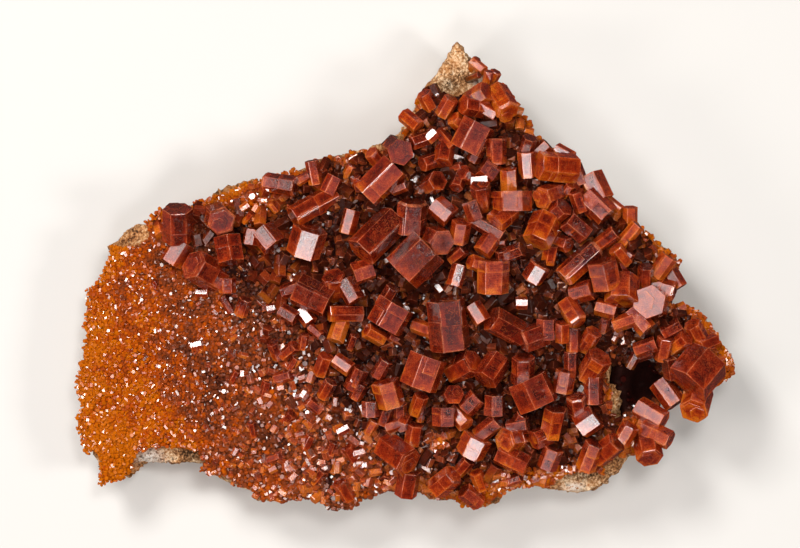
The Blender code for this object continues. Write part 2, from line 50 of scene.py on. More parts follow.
# The rock's widest line, clockwise from the tip of the peak.
OUTLINE = [
    (8.0, 35.2), (9.3, 34.3), (10.5, 33.2), (11.9, 32.3), (12.5, 30.5), (13.8, 29.6), (15.6, 28.4),
    (16.8, 26.9), (18.0, 24.8), (19.8, 21.9), (21.2, 20.3), (22.8, 19.1), (24.6, 18.3), (25.2, 16.7),
    (26.4, 15.2), (28.2, 14.0), (29.6, 12.5), (31.4, 11.3), (32.7, 10.1), (34.4, 8.7), (36.3, 7.4),
    (37.8, 5.9), (38.6, 4.5), (40.2, 3.8), (41.6, 2.6), (41.0, 1.1), (39.6, -0.5), (39.5, -2.3),
    (40.2, -3.8), (42.0, -3.8), (43.5, -4.4), (44.7, -5.4), (45.9, -6.9), (47.0, -8.6), (48.0, -10.5),
    (49.2, -12.3), (49.7, -14.0), (48.8, -15.2), (47.1, -16.2), (45.3, -17.0), (43.7, -17.9),
    (41.7, -18.0), (40.2, -17.4), (39.0, -18.2), (38.3, -19.7), (37.7, -21.5), (36.6, -23.3),
    (35.4, -24.8), (35.0, -26.4), (33.3, -27.8), (32.6, -29.4), (30.9, -30.8), (29.7, -32.0),
    (27.2, -32.7), (24.8, -32.9), (22.8, -32.3), (20.4, -32.0), (17.4, -31.4), (15.5, -32.3),
    (13.5, -33.3), (12.2, -34.5), (9.3, -34.5), (7.2, -33.6), (4.8, -33.5), (2.6, -32.6),
    (0.5, -32.0), (-2.1, -32.1), (-4.4, -32.9), (-6.3, -33.6), (-7.2, -34.7), (-9.0, -35.1),
    (-11.4, -34.7), (-13.4, -33.6), (-15.6, -33.5), (-18.2, -33.9), (-20.6, -34.1), (-23.1, -33.0),
    (-25.4, -31.7), (-27.6, -30.9), (-29.9, -30.0), (-31.4, -28.7), (-33.3, -28.5), (-35.9, -28.5),
    (-38.4, -28.4), (-40.4, -28.5), (-41.1, -29.6), (-42.5, -30.8), (-44.4, -31.2), (-45.6, -31.7),
    (-46.4, -30.8), (-46.7, -29.0), (-47.6, -27.3), (-48.6, -25.5), (-49.4, -23.3), (-49.5, -21.0),
    (-48.8, -19.4), (-49.5, -17.3), (-49.7, -15.8), (-49.1, -13.5), (-48.6, -11.3), (-48.0, -9.0),
    (-48.8, -7.2), (-48.6, -5.3), (-47.9, -3.5), (-48.2, -2.0), (-46.5, -0.9), (-45.5, 0.8),
    (-44.7, 2.6), (-44.3, 4.4), (-43.4, 5.9), (-41.6, 7.7), (-40.4, 8.6), (-38.7, 8.7), (-37.2, 10.4),
    (-34.8, 10.5), (-32.1, 11.1), (-29.7, 12.0), (-27.3, 12.8), (-23.9, 14.3), (-20.9, 15.0),
    (-17.9, 15.9), (-15.2, 16.8), (-12.6, 18.3), (-9.6, 18.9), (-7.1, 19.6), (-4.8, 19.7),
    (-1.8, 20.7), (-0.5, 22.4), (0.5, 24.0), (1.5, 26.1), (2.4, 27.8), (3.6, 29.4), (5.1, 31.2),
    (6.3, 32.9), (7.2, 34.5),
]

# Form of the rock's upper side, as in the construction. Each bump is a centre x, y and two radii.
PLATE = 10.5  # mean thickness of the rock
# The hollow lies deep, and the druse's colour in it is darkened as painted shade.
HOLLOW = (35.7, -16.2, 3.3, 3.6)  # the dark hollow between the right lobes
HOLLOW_DEPTH = 6.0
SWELL = (14, -2, 26, 24)
SWELL_HEIGHT = 3.0
FALL = (-50, -12, 16, 40)  # the lower left side lies deeper
FALL_DEPTH = 2.0
EDGE_DROP = 2.2
EDGE_REACH = 2.0
THIN_CRUST = 0.8
THICK_CRUST = 2.4  # under the large crystals
BURY = 0.45  # share of its half height by which a crystal's middle stands over the ground
ROOT = 2.4  # hidden length that reaches down into the crust

# Bare rock, as ellipses: centre x, y and radii.
BARE = [
    (7.9, 31.2, 4.8, 4.4),
    (-41.6, 6.8, 3.4, 2.3),
    (-35.3, -27.6, 5.4, 2.1),
    (27.0, -31.2, 4.8, 2.1),
    (32.6, -28.9, 3.0, 2.6),
]

# Main crystals: x, y, width across flats, length, heading and rise of the c axis, turn about it,
# and tone from 0 (dark purple brown) to 1 (bright orange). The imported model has 142 of them: it lacks
# 20 that are 1.7 to 2.0 wide.
CRYSTALS = [
    # upper left
    (-33.8, 8.3, 4.0, 4.2, 90, 18, 0, 0.35), (-33.8, 3.8, 3.3, 3.6, 61, 20, -15, 0.4),
    (-30.2, 1.1, 4.2, 3.9, 150, 40, 0, 0.4), (-27.5, 8.6, 3.9, 3.8, 225, 65, 0, 0.45),
    (-26.1, 3.8, 3.9, 3.5, -80, 12, 25, 0.35), (-22.7, 6.0, 2.3, 2.3, 80, 5, 0, 0.4),
    (-20.1, 5.6, 3.6, 2.7, -53, 30, 0, 0.35), (-14.4, 5.6, 4.5, 3.6, 72, 20, 0, 0.4),
    (-26.4, -1.1, 2.3, 2.0, 90, 10, 0, 0.5), (-17.0, -5.7, 2.1, 2.2, -30, 15, 10, 0.2),
    (-18.2, 13.8, 2.6, 4.2, -10, 20, 0, 0.35), (-13.8, 10.5, 3.0, 6.8, 210, 20, 10, 0.5),
    (-3.5, 14.3, 4.2, 6.3, 44, 5, 10, 0.55), (-0.8, 18.8, 3.6, 3.3, 250, 50, 0, 0.45),
    (2.1, 20.3, 2.0, 2.2, 200, 20, 10, 0.25), (1.4, 23.0, 2.1, 2.4, -40, 20, 0, 0.7),
    (-10.8, 13.8, 2.3, 2.7, 60, 20, 15, 0.5), (-13.5, 15.8, 1.9, 3.3, 100, 10, 0, 0.5),
    (-4.4, 17.9, 2.0, 2.2, 130, 30, 10, 0.7),
    # left of the middle
    (-8.1, 8.3, 2.2, 3.6, 78, 25, 0, 0.6), (-4.2, 5.9, 4.5, 6.8, 225, 20, 5, 0.25),
    (-6.3, 0.8, 3.0, 2.7, 200, 25, 10, 0.5), (1.1, 9.2, 3.9, 4.2, 85, 15, 0, 0.35),
    (1.7, 2.6, 5.6, 5.7, 45, 5, 5, 0.3), (-2.0, -5.7, 5.1, 4.2, 242, 15, 0, 0.4),
    (-9.8, -8.1, 2.3, 3.2, 252, 10, 0, 0.9), (-9.0, -5.4, 2.3, 4.5, 180, 15, 20, 0.5),
    (-10.4, -0.8, 3.0, 2.7, 100, 45, 0, 0.5), (-7.8, -2.4, 2.7, 3.0, -60, 15, 10, 0.3),
    (-13.4, -2.9, 4.2, 5.1, -25, 5, 15, 0.3), (-16.5, -1.7, 1.9, 2.1, 20, 20, 0, 0.3),
    (-4.8, -8.4, 2.1, 2.2, 150, 25, 0, 0.7), (3.2, -7.8, 2.0, 2.2, -20, 25, 0, 0.7),
    (-2.1, -2.4, 2.0, 2.2, 60, 20, 10, 0.2),
    # peak and below it
    (11.4, 27.2, 2.7, 2.7, 30, 30, 0, 0.7), (14.9, 25.7, 3.3, 3.6, -60, 40, 0, 0.8),
    (9.9, 25.5, 2.7, 2.7, 170, 30, 10, 0.5), (12.2, 25.0, 2.1, 3.3, -35, 35, 0, 0.5),
    (3.4, 26.6, 2.1, 2.2, 120, 25, 0, 0.7), (6.6, 25.8, 2.1, 2.2, 60, 25, 10, 0.7),
    (10.2, 21.0, 4.5, 4.5, 50, 35, 30, 0.5), (4.1, 21.0, 1.7, 1.8, 45, 12, 0, 0.6),
    (6.5, 20.1, 1.9, 2.7, -50, 20, 0, 0.6), (5.9, 17.9, 2.6, 2.4, 260, 30, 0, 0.45),
    (3.6, 17.1, 2.1, 2.2, 200, 30, 10, 0.4), (4.5, 14.0, 2.7, 2.6, 30, 60, 0, 0.45),
    (13.8, 18.9, 2.6, 3.6, 90, 10, 0, 0.5), (12.3, 16.1, 3.0, 3.0, -35, 5, 0, 0.35),
    (9.3, 15.2, 2.2, 2.2, 150, 45, 0, 0.5), (11.4, 12.6, 2.6, 3.0, 100, 40, 0, 0.5),
    (15.6, 14.7, 2.4, 3.0, 95, 15, 20, 0.9), (18.3, 17.1, 2.4, 3.3, 95, 30, 0, 0.6),
    (18.5, 19.9, 2.0, 2.1, 70, 30, 0, 0.2), (8.0, 23.1, 2.1, 2.2, 140, 30, 0, 0.8),
    (8.0, 14.0, 1.9, 2.0, 250, 35, 10, 0.2),
    # middle
    (6.0, 9.6, 3.0, 2.7, -45, 35, 10, 0.5), (16.1, 11.3, 5.1, 3.0, -90, 8, 10, 0.6),
    (14.3, 8.7, 3.0, 2.7, 220, 30, 0, 0.6), (12.6, 7.2, 2.0, 4.8, -30, 10, 0, 0.15),
    (12.2, 4.5, 2.6, 2.4, 235, 10, 0, 0.6), (10.2, 10.1, 2.3, 2.7, 110, 10, 15, 0.2),
    (8.4, 7.2, 2.6, 2.4, 80, 20, 0, 0.7), (5.0, 5.4, 3.5, 3.0, -30, 60, 0, 0.45),
    (10.7, 2.0, 2.1, 2.2, 160, 25, 0, 0.7), (16.7, 3.8, 2.1, 2.2, 20, 25, 10, 0.2),
    (13.2, 0.2, 4.1, 4.7, 90, 10, 0, 0.65), (7.8, 0.0, 2.1, 3.0, -105, 35, 0, 0.4),
    (6.5, -6.8, 5.1, 7.2, 98, 3, 15, 0.25), (11.1, -5.6, 2.4, 2.7, -60, 25, 0, 0.5),
    (14.9, -7.2, 3.6, 4.8, 150, 20, 0, 0.3), (17.4, -3.9, 1.7, 1.9, 0, 8, 0, 0.5),
    # upper right
    (20.7, 19.0, 2.1, 2.4, 45, 30, 0, 0.5), (22.4, 16.4, 3.9, 5.1, 175, 20, 10, 0.7),
    (24.3, 18.2, 2.0, 2.2, -30, 20, 0, 0.6), (26.1, 15.0, 2.0, 3.0, -70, 10, 0, 0.5),
    (21.3, 12.0, 3.0, 2.7, 200, 45, 0, 0.65), (23.0, 9.8, 2.7, 2.6, 40, 35, 0, 0.5),
    (28.7, 13.1, 3.6, 3.9, -65, 10, 10, 0.55), (28.8, 10.4, 3.6, 4.2, -45, 10, 0, 0.45),
    (25.9, 11.7, 2.1, 2.4, 110, 20, 0, 0.5), (33.8, 9.0, 2.0, 3.0, 90, 15, 0, 0.8),
    (20.3, 6.6, 3.9, 3.6, 245, 25, 0, 0.65), (21.8, 3.8, 2.1, 2.2, 80, 20, 15, 0.6),
    (19.8, 0.9, 3.0, 3.6, 245, 15, -15, 0.5), (23.7, 5.0, 2.1, 2.2, -20, 40, 0, 0.5),
    (25.4, 7.7, 3.0, 3.3, 140, 15, 15, 0.25), (26.0, 2.0, 3.0, 6.6, 222, 10, 10, 0.45),
    (29.7, 0.8, 4.2, 3.6, 100, 10, 30, 0.5), (26.9, -2.1, 2.7, 2.4, 15, 25, 0, 0.5),
    (30.3, 5.7, 2.1, 3.3, 38, 15, 0, 0.5), (33.6, 6.3, 1.9, 3.9, 50, 10, 0, 0.85),
    (32.0, 3.6, 2.1, 2.2, 130, 25, 0, 0.7), (32.4, -2.3, 4.5, 3.0, -95, 25, 10, 0.55),
    (36.9, -3.8, 4.5, 3.9, 45, 55, 0, 0.5), (38.7, 1.7, 2.3, 3.3, 55, 10, 0, 0.75),
    (40.5, -0.5, 2.4, 2.7, -60, 20, 0, 0.5), (36.0, 0.6, 2.1, 2.2, 90, 30, 0, 0.5),
    (38.7, -1.8, 2.7, 3.6, -15, 15, 0, 0.6), (35.2, -6.6, 2.6, 3.6, -50, 15, 0, 0.6),
    (25.2, -5.6, 2.7, 3.0, -60, 25, 15, 0.65), (30.3, -4.8, 2.3, 2.7, -15, 10, 0, 0.65),
    (21.2, -7.5, 2.7, 2.7, 90, 5, 0, 0.4), (23.6, -7.8, 2.1, 2.2, 90, 20, 20, 0.6),
    (19.1, -9.0, 3.3, 3.6, 200, 15, 10, 0.35), (27.8, -8.9, 2.3, 2.3, 60, 35, 0, 0.65),
    (25.2, -9.2, 1.9, 3.3, 90, 10, 0, 0.45), (33.0, -6.6, 2.1, 3.0, 20, 10, 0, 0.6),
    # lower middle
    (2.9, -14.0, 5.1, 5.1, -105, 20, -10, 0.5), (-2.4, -17.0, 3.6, 3.4, 105, 15, 0, 0.7),
    (9.3, -13.1, 3.6, 3.0, 30, 40, 0, 0.5), (12.8, -14.1, 3.5, 3.3, 235, 25, 0, 0.35),
    (17.7, -13.4, 3.0, 3.2, 90, 25, 0, 0.45), (19.2, -17.1, 5.6, 4.4, 114, 5, 10, 0.4),
    (7.2, -17.6, 2.7, 2.3, 30, 75, 0, 0.45), (10.1, -18.6, 2.6, 2.4, 45, 10, 0, 0.35),
    (13.5, -18.8, 2.7, 2.7, 90, 10, 15, 0.35), (2.3, -18.5, 2.0, 2.2, 70, 30, 0, 0.7),
    (6.0, -20.6, 3.3, 2.6, 90, 5, 15, 0.35), (8.6, -21.3, 2.3, 2.4, -50, 25, 0, 0.7),
    (-5.0, -19.5, 2.3, 2.1, 90, 10, 0, 0.35), (-2.6, -20.2, 1.9, 2.1, 70, 20, 0, 0.3),
    (-0.3, -21.6, 2.1, 2.2, 240, 40, 0, 0.4), (1.5, -23.1, 2.3, 2.4, 80, 20, 15, 0.6),
    (-7.0, -14.9, 2.3, 3.0, 65, 15, 0, 0.4), (-3.2, -13.4, 1.9, 2.4, 60, 15, 0, 0.3),
    (-8.9, -13.2, 2.1, 2.4, -35, 15, 0, 0.65), (-11.9, -12.6, 2.1, 2.2, 70, 30, 15, 0.6),
    (-0.6, -26.7, 4.2, 3.9, -35, 35, 20, 0.5), (10.5, -24.9, 3.9, 3.8, 250, 10, 30, 0.6),
    (12.8, -22.3, 2.4, 3.3, 40, 15, 10, 0.4), (15.9, -24.2, 3.3, 3.0, 200, 60, 0, 0.75),
    (16.4, -27.3, 3.0, 4.5, -25, 10, 15, 0.5), (6.5, -30.2, 3.0, 3.0, 40, 30, 0, 0.6),
    (0.6, -30.4, 3.0, 3.2, 80, 20, 10, 0.3), (-9.2, -31.5, 2.1, 2.2, 120, 30, 0, 0.5),
    (17.4, -22.2, 2.3, 2.4, 10, 20, 0, 0.35), (20.4, -23.9, 2.7, 2.7, 200, 25, 15, 0.3),
    (21.9, -26.7, 2.7, 2.7, 70, 15, 0, 0.4), (9.8, -32.6, 2.4, 2.5, 140, 20, 0, 0.5),
    # lower right and the lobes
    (28.2, -16.7, 2.5, 3.9, 90, 10, 0, 0.35), (28.5, -12.9, 3.3, 3.1, 60, 35, 0, 0.6),
    (24.9, -12.2, 1.9, 2.4, 90, 15, 0, 0.3), (27.6, -21.4, 3.5, 2.7, 35, 12, 0, 0.5),
    (22.2, -21.3, 3.0, 3.8, 80, 20, 20, 0.55), (23.9, -15.2, 2.7, 2.7, 80, 15, 0, 0.45),
    (25.8, -18.9, 2.7, 2.8, 100, 30, 0, 0.4), (27.9, -26.3, 2.7, 3.6, 70, 20, 0, 0.6),
    (30.6, -25.4, 3.0, 3.2, 40, 30, 10, 0.6), (33.2, -23.2, 2.4, 2.8, 60, 20, 0, 0.7),
    (43.6, -14.3, 6.3, 4.6, 229, 18, -8, 0.35), (43.6, -19.0, 3.9, 3.4, 250, 50, 0, 0.65),
    (39.6, -17.6, 3.0, 3.9, -55, 15, 0, 0.5), (37.3, -20.7, 2.9, 3.9, -30, 20, 0, 0.6),
    (38.1, -23.6, 2.7, 3.9, -25, 20, 15, 0.6), (36.5, -25.8, 3.6, 3.3, -80, 40, 0, 0.5),
    (40.2, -7.7, 2.1, 2.7, 30, 10, 0, 0.25), (38.9, -10.2, 2.4, 2.7, 80, 25, 0, 0.5),
    (41.4, -9.6, 2.3, 2.4, 40, 35, 0, 0.8), (43.4, -7.9, 2.4, 2.4, 120, 30, 0, 0.6),
    (36.2, -10.4, 2.1, 3.0, 20, 10, 0, 0.5), (39.8, -12.8, 2.4, 2.4, 100, 30, 10, 0.2),
    (44.6, -10.2, 2.1, 2.2, 200, 40, 0, 0.6),
]

# Narrow strips of rock left bare along the rim.
RIM_PATCHES = [
    (-15.2, 16.9, 1.6, 1.2), (-12.6, 18.4, 1.6, 1.2), (-9.6, 19.1, 1.6, 1.2), (-7.0, 19.8, 1.5, 1.3),
    (-4.6, 20.0, 1.7, 1.2), (-1.8, 21.1, 1.5, 1.4), (-0.3, 23.0, 1.2, 1.4), (1.0, 25.4, 1.2, 1.5),
    (2.6, 28.3, 1.2, 1.6), (13.8, 30.0, 1.1, 1.2), (16.2, 28.2, 1.1, 1.2), (18.3, 25.4, 1.1, 1.4),
    (20.2, 22.2, 1.1, 1.4), (-27.9, -31.2, 2.2, 1.5), (-24.6, -32.4, 2.0, 1.0), (-20.6, -34.3, 2.4, 0.9),
    (31.2, -14.4, 1.2, 2.4), (32.0, -18.8, 1.2, 2.5), (20.4, -32.4, 3.2, 1.2), (-46.9, -28.9, 1.2, 2.6),
    (-43.6, 6.4, 1.4, 1.4), (-48.8, -4.6, 1.0, 2.6),
]

PEAK_TIP = (8.0, 35.0, 1.6, 1.8)  # where the peak is drawn out
PEAK_DRAWN = 0.7

# Golden druse: the lower right slope, the rim behind the biggest crystal, the left side of the hollow,
# a nest at the upper left, a gap in the lower middle and two stretches of the bottom rim.
GOLDEN = [
    (33.6, -23.6, 2.4, 3.4), (30.2, -27.0, 3.0, 2.0), (48.0, -11.4, 2.2, 4.0), (45.4, -7.4, 2.4, 2.4),
    (30.6, -17.0, 1.4, 4.4), (-22.2, 10.9, 2.6, 1.5), (5.5, -24.8, 2.4, 1.8), (13.5, -31.0, 3.6, 2.0),
    (23.5, -29.6, 4.6, 2.2),
]
# Nests in it where nearly every grain sparkles.
NESTS = [
    (-22.4, 10.7, 2.2, 1.1), (5.5, -24.7, 1.6, 1.2), (22.0, -28.8, 4.0, 0.9), (48.4, -11.6, 1.0, 2.6),
    (33.4, -24.0, 1.0, 2.4),
]

# White and dark patches of the bare rock, as ellipses.
CHALK = [
    (-38.4, -27.3, 2.0, 1.5), (11.4, 29.1, 1.0, 0.9), (25.6, -31.6, 1.3, 0.6), (-22.0, 10.8, 1.2, 1.2),
]
GRAVEL = [
    (-32.1, -26.6, 2.4, 1.1), (27.5, -29.4, 3.6, 1.2), (6.6, 28.9, 2.0, 1.0), (8.5, 30.4, 0.9, 1.0),
    (9.8, 32.6, 0.8, 0.8),
]

# Smaller crystals, in the same columns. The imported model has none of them.
SMALL_CRYSTALS = [
    (-30.0, -2.4, 1.2, 1.4, 0, 12, 0, 0.5), (-23.9, -4.1, 1.8, 1.9, 70, 20, 0, 0.4),
    (-20.0, -4.7, 1.3, 1.4, 10, 20, 0, 0.4), (-14.4, -6.2, 2.1, 1.8, -53, 15, 0, 0.5),
    (-14.9, -9.2, 1.3, 1.5, 80, 20, 0, 0.5), (-16.8, -10.7, 1.7, 1.8, 40, 30, 0, 0.45),
    (-19.4, -10.4, 1.7, 1.7, 110, 35, 10, 0.45), (-26.6, -3.9, 1.2, 2.4, 120, 10, 0, 0.3),
    (-16.4, -12.6, 1.1, 1.3, 60, 20, 0, 0.4), (-30.9, -10.2, 1.3, 1.4, 20, 30, 0, 0.5),
    (-37.4, -0.9, 0.9, 1.0, 90, 20, 0, 0.6), (-14.7, 14.9, 1.3, 1.5, 30, 20, 0, 0.6),
    (-8.1, 16.1, 1.3, 1.4, 60, 20, 0, 0.9), (-7.1, 14.3, 1.4, 1.6, 100, 30, 0, 0.5),
    (-0.3, 13.4, 1.5, 1.6, 20, 25, 0, 0.5), (-7.5, -9.2, 1.3, 1.4, 70, 30, 0, 0.35),
    (-1.8, -9.0, 1.3, 1.4, 150, 30, 0, 0.5), (-12.9, -8.4, 1.3, 1.5, -40, 20, 0, 0.4),
    (13.5, 30.2, 1.6, 1.7, 60, 25, 0, 0.9), (8.1, 16.4, 1.2, 1.3, 20, 30, 0, 0.6),
    (11.1, 18.9, 1.8, 2.2, 60, 20, 0, 0.15), (8.3, 3.6, 1.8, 1.9, 40, 25, 0, 0.5),
    (14.4, 3.2, 1.4, 1.6, 100, 25, 0, 0.3), (14.6, 5.1, 0.9, 1.1, 0, 20, 0, 0.6),
    (3.5, 0.3, 1.2, 1.3, 30, 30, 0, 0.3), (24.5, 13.1, 1.3, 1.5, 60, 30, 0, 0.6),
    (31.8, 10.4, 1.5, 1.7, -40, 20, 0, 0.9), (33.3, 3.0, 1.5, 1.7, 60, 20, 0, 0.6),
    (22.4, 6.3, 1.2, 2.0, 60, 15, 0, 0.5), (32.6, 1.5, 1.1, 1.9, 110, 15, 0, 0.5),
    (29.9, -6.8, 1.2, 1.4, 80, 20, 0, 0.5), (34.5, -12.0, 1.4, 2.0, 60, 20, 0, 0.6),
    (36.3, -11.3, 1.8, 2.0, 20, 20, 0, 0.25), (45.3, -10.7, 1.6, 1.7, 60, 35, 0, 0.5),
    (2.6, -20.1, 1.1, 1.9, 80, 15, 0, 0.5), (-4.7, -22.1, 1.5, 1.6, 60, 20, 0, 0.8),
    (-9.0, -22.8, 1.2, 1.8, 30, 15, 0, 0.4), (-10.8, -25.2, 1.3, 1.4, 70, 25, 0, 0.4),
    (-6.6, -16.8, 1.8, 2.0, 60, 15, 0, 0.4), (-7.4, -15.4, 1.8, 1.9, 150, 20, 0, 0.4),
    (-11.3, -16.4, 1.8, 2.0, 60, 25, 0, 0.45), (-0.6, -19.7, 1.8, 1.9, 90, 20, 0, 0.4),
    (-0.9, -21.9, 1.8, 1.9, 20, 25, 0, 0.5), (-5.7, -28.7, 1.4, 1.5, 100, 20, 0, 0.4),
    (-12.5, -29.4, 1.5, 1.7, 50, 30, 0, 0.4), (17.3, -21.2, 1.8, 1.9, 60, 25, 0, 0.4),
    (16.8, -30.2, 1.3, 1.5, 20, 25, 0, 0.5), (11.0, -29.9, 1.8, 2.0, 110, 30, 0, 0.8),
    (9.2, -27.9, 1.8, 1.9, 50, 30, 0, 0.5), (-17.5, -14.8, 1.6, 1.7, 15, 30, 0, 0.45),
    (10.7, 32.3, 1.2, 1.3, 60, 30, 0, 0.9), (11.5, 31.3, 1.5, 1.6, -40, 25, 0, 0.95),
    (12.6, 30.1, 1.3, 1.5, 80, 20, 0, 0.8), (10.9, 30.2, 1.0, 1.1, 20, 40, 0, 0.9),
    (11.7, 14.1, 2.2, 2.0, 5, 12, 0, 0.5), (24.0, 5.2, 1.4, 1.5, 60, 15, 0, 0.5),
    (-20.6, -16.2, 1.4, 1.5, 75, 25, 10, 0.4), (-13.8, -19.0, 1.6, 1.8, 140, 20, 0, 0.4),
    (-17.1, -20.9, 1.5, 1.6, 40, 35, 0, 0.5), (-22.8, -22.4, 1.2, 1.4, 100, 25, 0, 0.45),
    (-14.2, -24.4, 1.5, 1.7, 65, 20, 15, 0.5), (-19.0, -26.9, 1.3, 1.4, 20, 30, 0, 0.5),
    (-8.2, -26.0, 1.7, 1.8, 120, 30, 0, 0.45), (-25.2, -14.6, 1.1, 1.3, 60, 20, 0, 0.5),
    (-23.6, 10.6, 1.0, 1.1, 30, 25, 0, 0.95), (-22.6, 11.9, 0.9, 1.0, 100, 30, 0, 1.0),
    (-22.1, 10.3, 1.1, 1.0, 60, 20, 0, 0.95), (-21.0, 11.4, 0.9, 1.1, 0, 35, 0, 1.0),
    (-20.4, 12.6, 1.0, 1.0, 80, 25, 0, 0.95), (-19.8, 10.7, 0.9, 1.0, 130, 20, 0, 0.9),
    (-23.0, 9.2, 0.9, 0.9, 50, 30, 0, 0.95), (-21.4, 8.8, 0.8, 0.9, 10, 20, 0, 0.9),
]

# Crystals with a face that mirrors one of the lights: place and light.
MIRRORS = [
    (-14.4, 5.6, "white card"), (4.1, 21.0, "key"), (11.7, 14.1, "key"), (7.8, 0.0, "overhead"),
    (19.8, 0.9, "white card"), (17.1, -4.2, "overhead"), (-14.4, -6.2, "key"), (-30.0, -2.4, "key"),
    (-20.0, -4.7, "overhead"), (-30.9, -10.2, "key"), (27.6, -21.4, "white card"),
    (10.5, -24.9, "white card"), (-5.7, -28.7, "key"), (-7.4, -15.4, "right"), (-9.0, -22.8, "key"),
    (24.0, 5.2, "overhead"), (18.3, 17.1, "white card"), (3.5, 0.3, "key"), (-22.7, 6.0, "card"),
    (6.0, 9.6, "card"), (11.1, -5.6, "card"), (-8.1, 8.3, "card"), (36.9, -3.8, "card"),
    (-33.8, 3.8, "card"), (40.5, -0.5, "card"), (-20.1, 5.6, "card"), (-3.5, 14.3, "veil"),
    (6.5, -6.8, "veil"), (-2.0, -5.7, "veil"), (2.9, -14.0, "veil"), (21.2, -7.5, "veil"),
    (-27.5, 8.6, "veil"), (12.2, 25.0, "white card"), (20.7, 19.0, "card"), (-10.8, 13.8, "veil"),
    (-0.8, 18.8, "veil"), (12.3, 16.1, "veil"), (-6.3, 0.8, "veil"), (10.2, 21.0, "veil"),
    (-22.6, 11.9, "key"), (-21.0, 11.4, "overhead"), (-22.1, 10.3, "card"), (-23.6, 10.6, "white card"),
    (-20.4, 12.6, "key"),
]

# Crystals that mirror no light at all.
DARK = [
    (-33.8, 8.3), (1.7, 2.6), (-4.2, 5.9), (-13.4, -2.9), (-26.1, 3.8), (16.1, 11.3), (22.4, 16.4),
    (1.4, 23.0), (6.5, 20.1), (10.7, 32.3), (43.6, -14.3), (14.9, -7.2), (19.2, -17.1), (15.9, -24.2),
]

# Lights as azimuth and height in degrees, distance, size, radiance and colour.
LIGHTS = {
    "key": (128, 50, 0.7, 0.19, 29.0, (1.0, 0.98, 0.95)),
    "overhead": (60, 76, 0.8, 0.15, 26.0, (1.0, 0.99, 0.97)),
    "right": (-15, 42, 0.7, 0.15, 22.5, (1.0, 0.97, 0.93)),
    "low": (205, 34, 0.7, 0.15, 15.5, (1.0, 0.95, 0.9)),
    "white card": (262, 60, 0.8, 0.2, 12.0, (1.0, 0.97, 0.96)),
    "card": (170, 62, 0.9, 0.32, 4.6, (1.0, 0.9, 0.88)),
    "veil": (-40, 62, 0.9, 0.34, 0.4, (1.0, 0.85, 0.92)),
}
BRIGHT = 8.0  # radiance from which a light makes a face white
CLEAR_OF_LIGHTS = 9.0  # degrees by which the faces of the other crystals miss those lights
CLEAR_WHEN_DARK = 13.0  # and by which the dark crystals miss every light

# How often small crystals mirror each of the four lights, and each of the three cards.
GLINT_ODDS = np.array([0.4, 0.3, 0.2, 0.1])
CARD_ODDS = np.array([0.35, 0.45, 0.2])

FILL_SPACING = 1.3  # grid of the crystals that fill the gaps between the main ones
FILL_WIDTH = (0.7, 1.9)
MIDDLE_SPACING = 0.95  # grid of the middle-sized crystals right of the fine field
MIDDLE_WIDTH = (0.45, 1.4)
GRAIN_SPACING = 0.4  # grid of the finest crystals
GRAIN_WIDTH = (0.26, 0.56)
FIELD_X = (-51, 51)  # plan limits of the scattered crystals
FIELD_Y = (-37, 37)

BED_X = (-50, 50.1)
BED_Y = (-36, 36.1)
BED_SPACING = 0.45
BED_THICKNESS = 1.7
ROCK_GRID = 0.42  # size of the grid that the rock is remeshed to
FRACTURES = ((7.0, 4.2), (2.8, 1.3))  # size and relief of its broken faces, large and small
UNDER_BED = 0.6  # how far the rock stays under the ground of the druse
NO_ROOF = 1000.0

WIDTH_SEEN = 119.4
CENTRE_SEEN = (-0.6, 0.45, 14.0)

# Painted glow: the crystals' colour turns orange toward this side, as if light that had passed through them
# left there.
PAINTED_GLOW_SIDE = (-0.45, -0.75, -0.3)  # the side where light that has passed through a crystal leaves it


def edge_distance(x, y):
    """Distance from plan points to the outline, negative outside it."""
    start = np.array(OUTLINE)
    run = np.roll(start, -1, axis=0) - start
    dx, dy = x[:, None] - start[:, 0], y[:, None] - start[:, 1]
    t = np.clip((dx * run[:, 0] + dy * run[:, 1]) / (run**2).sum(1), 0, 1)
    nearest = np.hypot(dx - t * run[:, 0], dy - t * run[:, 1]).min(1)
    after = start + run
    spans = (start[:, 1] > y[:, None]) != (after[:, 1] > y[:, None])
    cross = start[:, 0] + dy * run[:, 0] / np.where(run[:, 1] == 0, 1e-9, run[:, 1])
    inside = (spans & (x[:, None] < cross)).sum(1) % 2 == 1
    return np.where(inside, nearest, -nearest)


def near_edge(x, y, reach):
    """1 on the outline and outside it, fading to 0 over about that distance inside."""
    return np.exp(-((np.maximum(edge_distance(x, y), 0.0) / reach) ** 2))


def bump(x, y, cx, cy, rx, ry):
    """1 at the centre, fading to 0 over the two radii."""
    return np.exp(-(((x - cx) / rx) ** 2) - ((y - cy) / ry) ** 2)


def bumps(x, y, places):
    """The highest of several bumps."""
    return np.max([bump(x, y, *place) for place in places], axis=0)


def smooth(t):
    return t * t * (3.0 - 2.0 * t)


def rock_height(x, y):
    """Height of the rock's broken upper side, as in the construction."""
    depth_in = np.maximum(edge_distance(x, y), 0.0)
    swell = SWELL_HEIGHT * bump(x, y, *SWELL)
    fall = -FALL_DEPTH * bump(x, y, *FALL)
    hollow = -HOLLOW_DEPTH * bump(x, y, *HOLLOW)
    lumps = 0.5 * np.sin(0.41 * x + 1.3) * np.sin(0.37 * y + 0.4) + 0.25 * np.sin(0.9 * x - 0.7 * y)
    return PLATE + swell + fall + hollow + lumps - EDGE_DROP * np.exp(-depth_in / EDGE_REACH)


def crystal_zone(x, y):
    """0 in the field of fine druse at the lower left, 1 where the large crystals grow."""
    across = ((x + 30.0) * 30.0 + (y + 2.0) * 28.0) / 41.0
    return smooth(np.clip((across + 1.0) / 9.0, 0, 1))


def crust_top(x, y):
    thick = THIN_CRUST + (THICK_CRUST - THIN_CRUST) * crystal_zone(x, y)
    thick = thick - (thick - THIN_CRUST) * bump(x, y, *HOLLOW)
    return rock_height(x, y) + GAP + thick


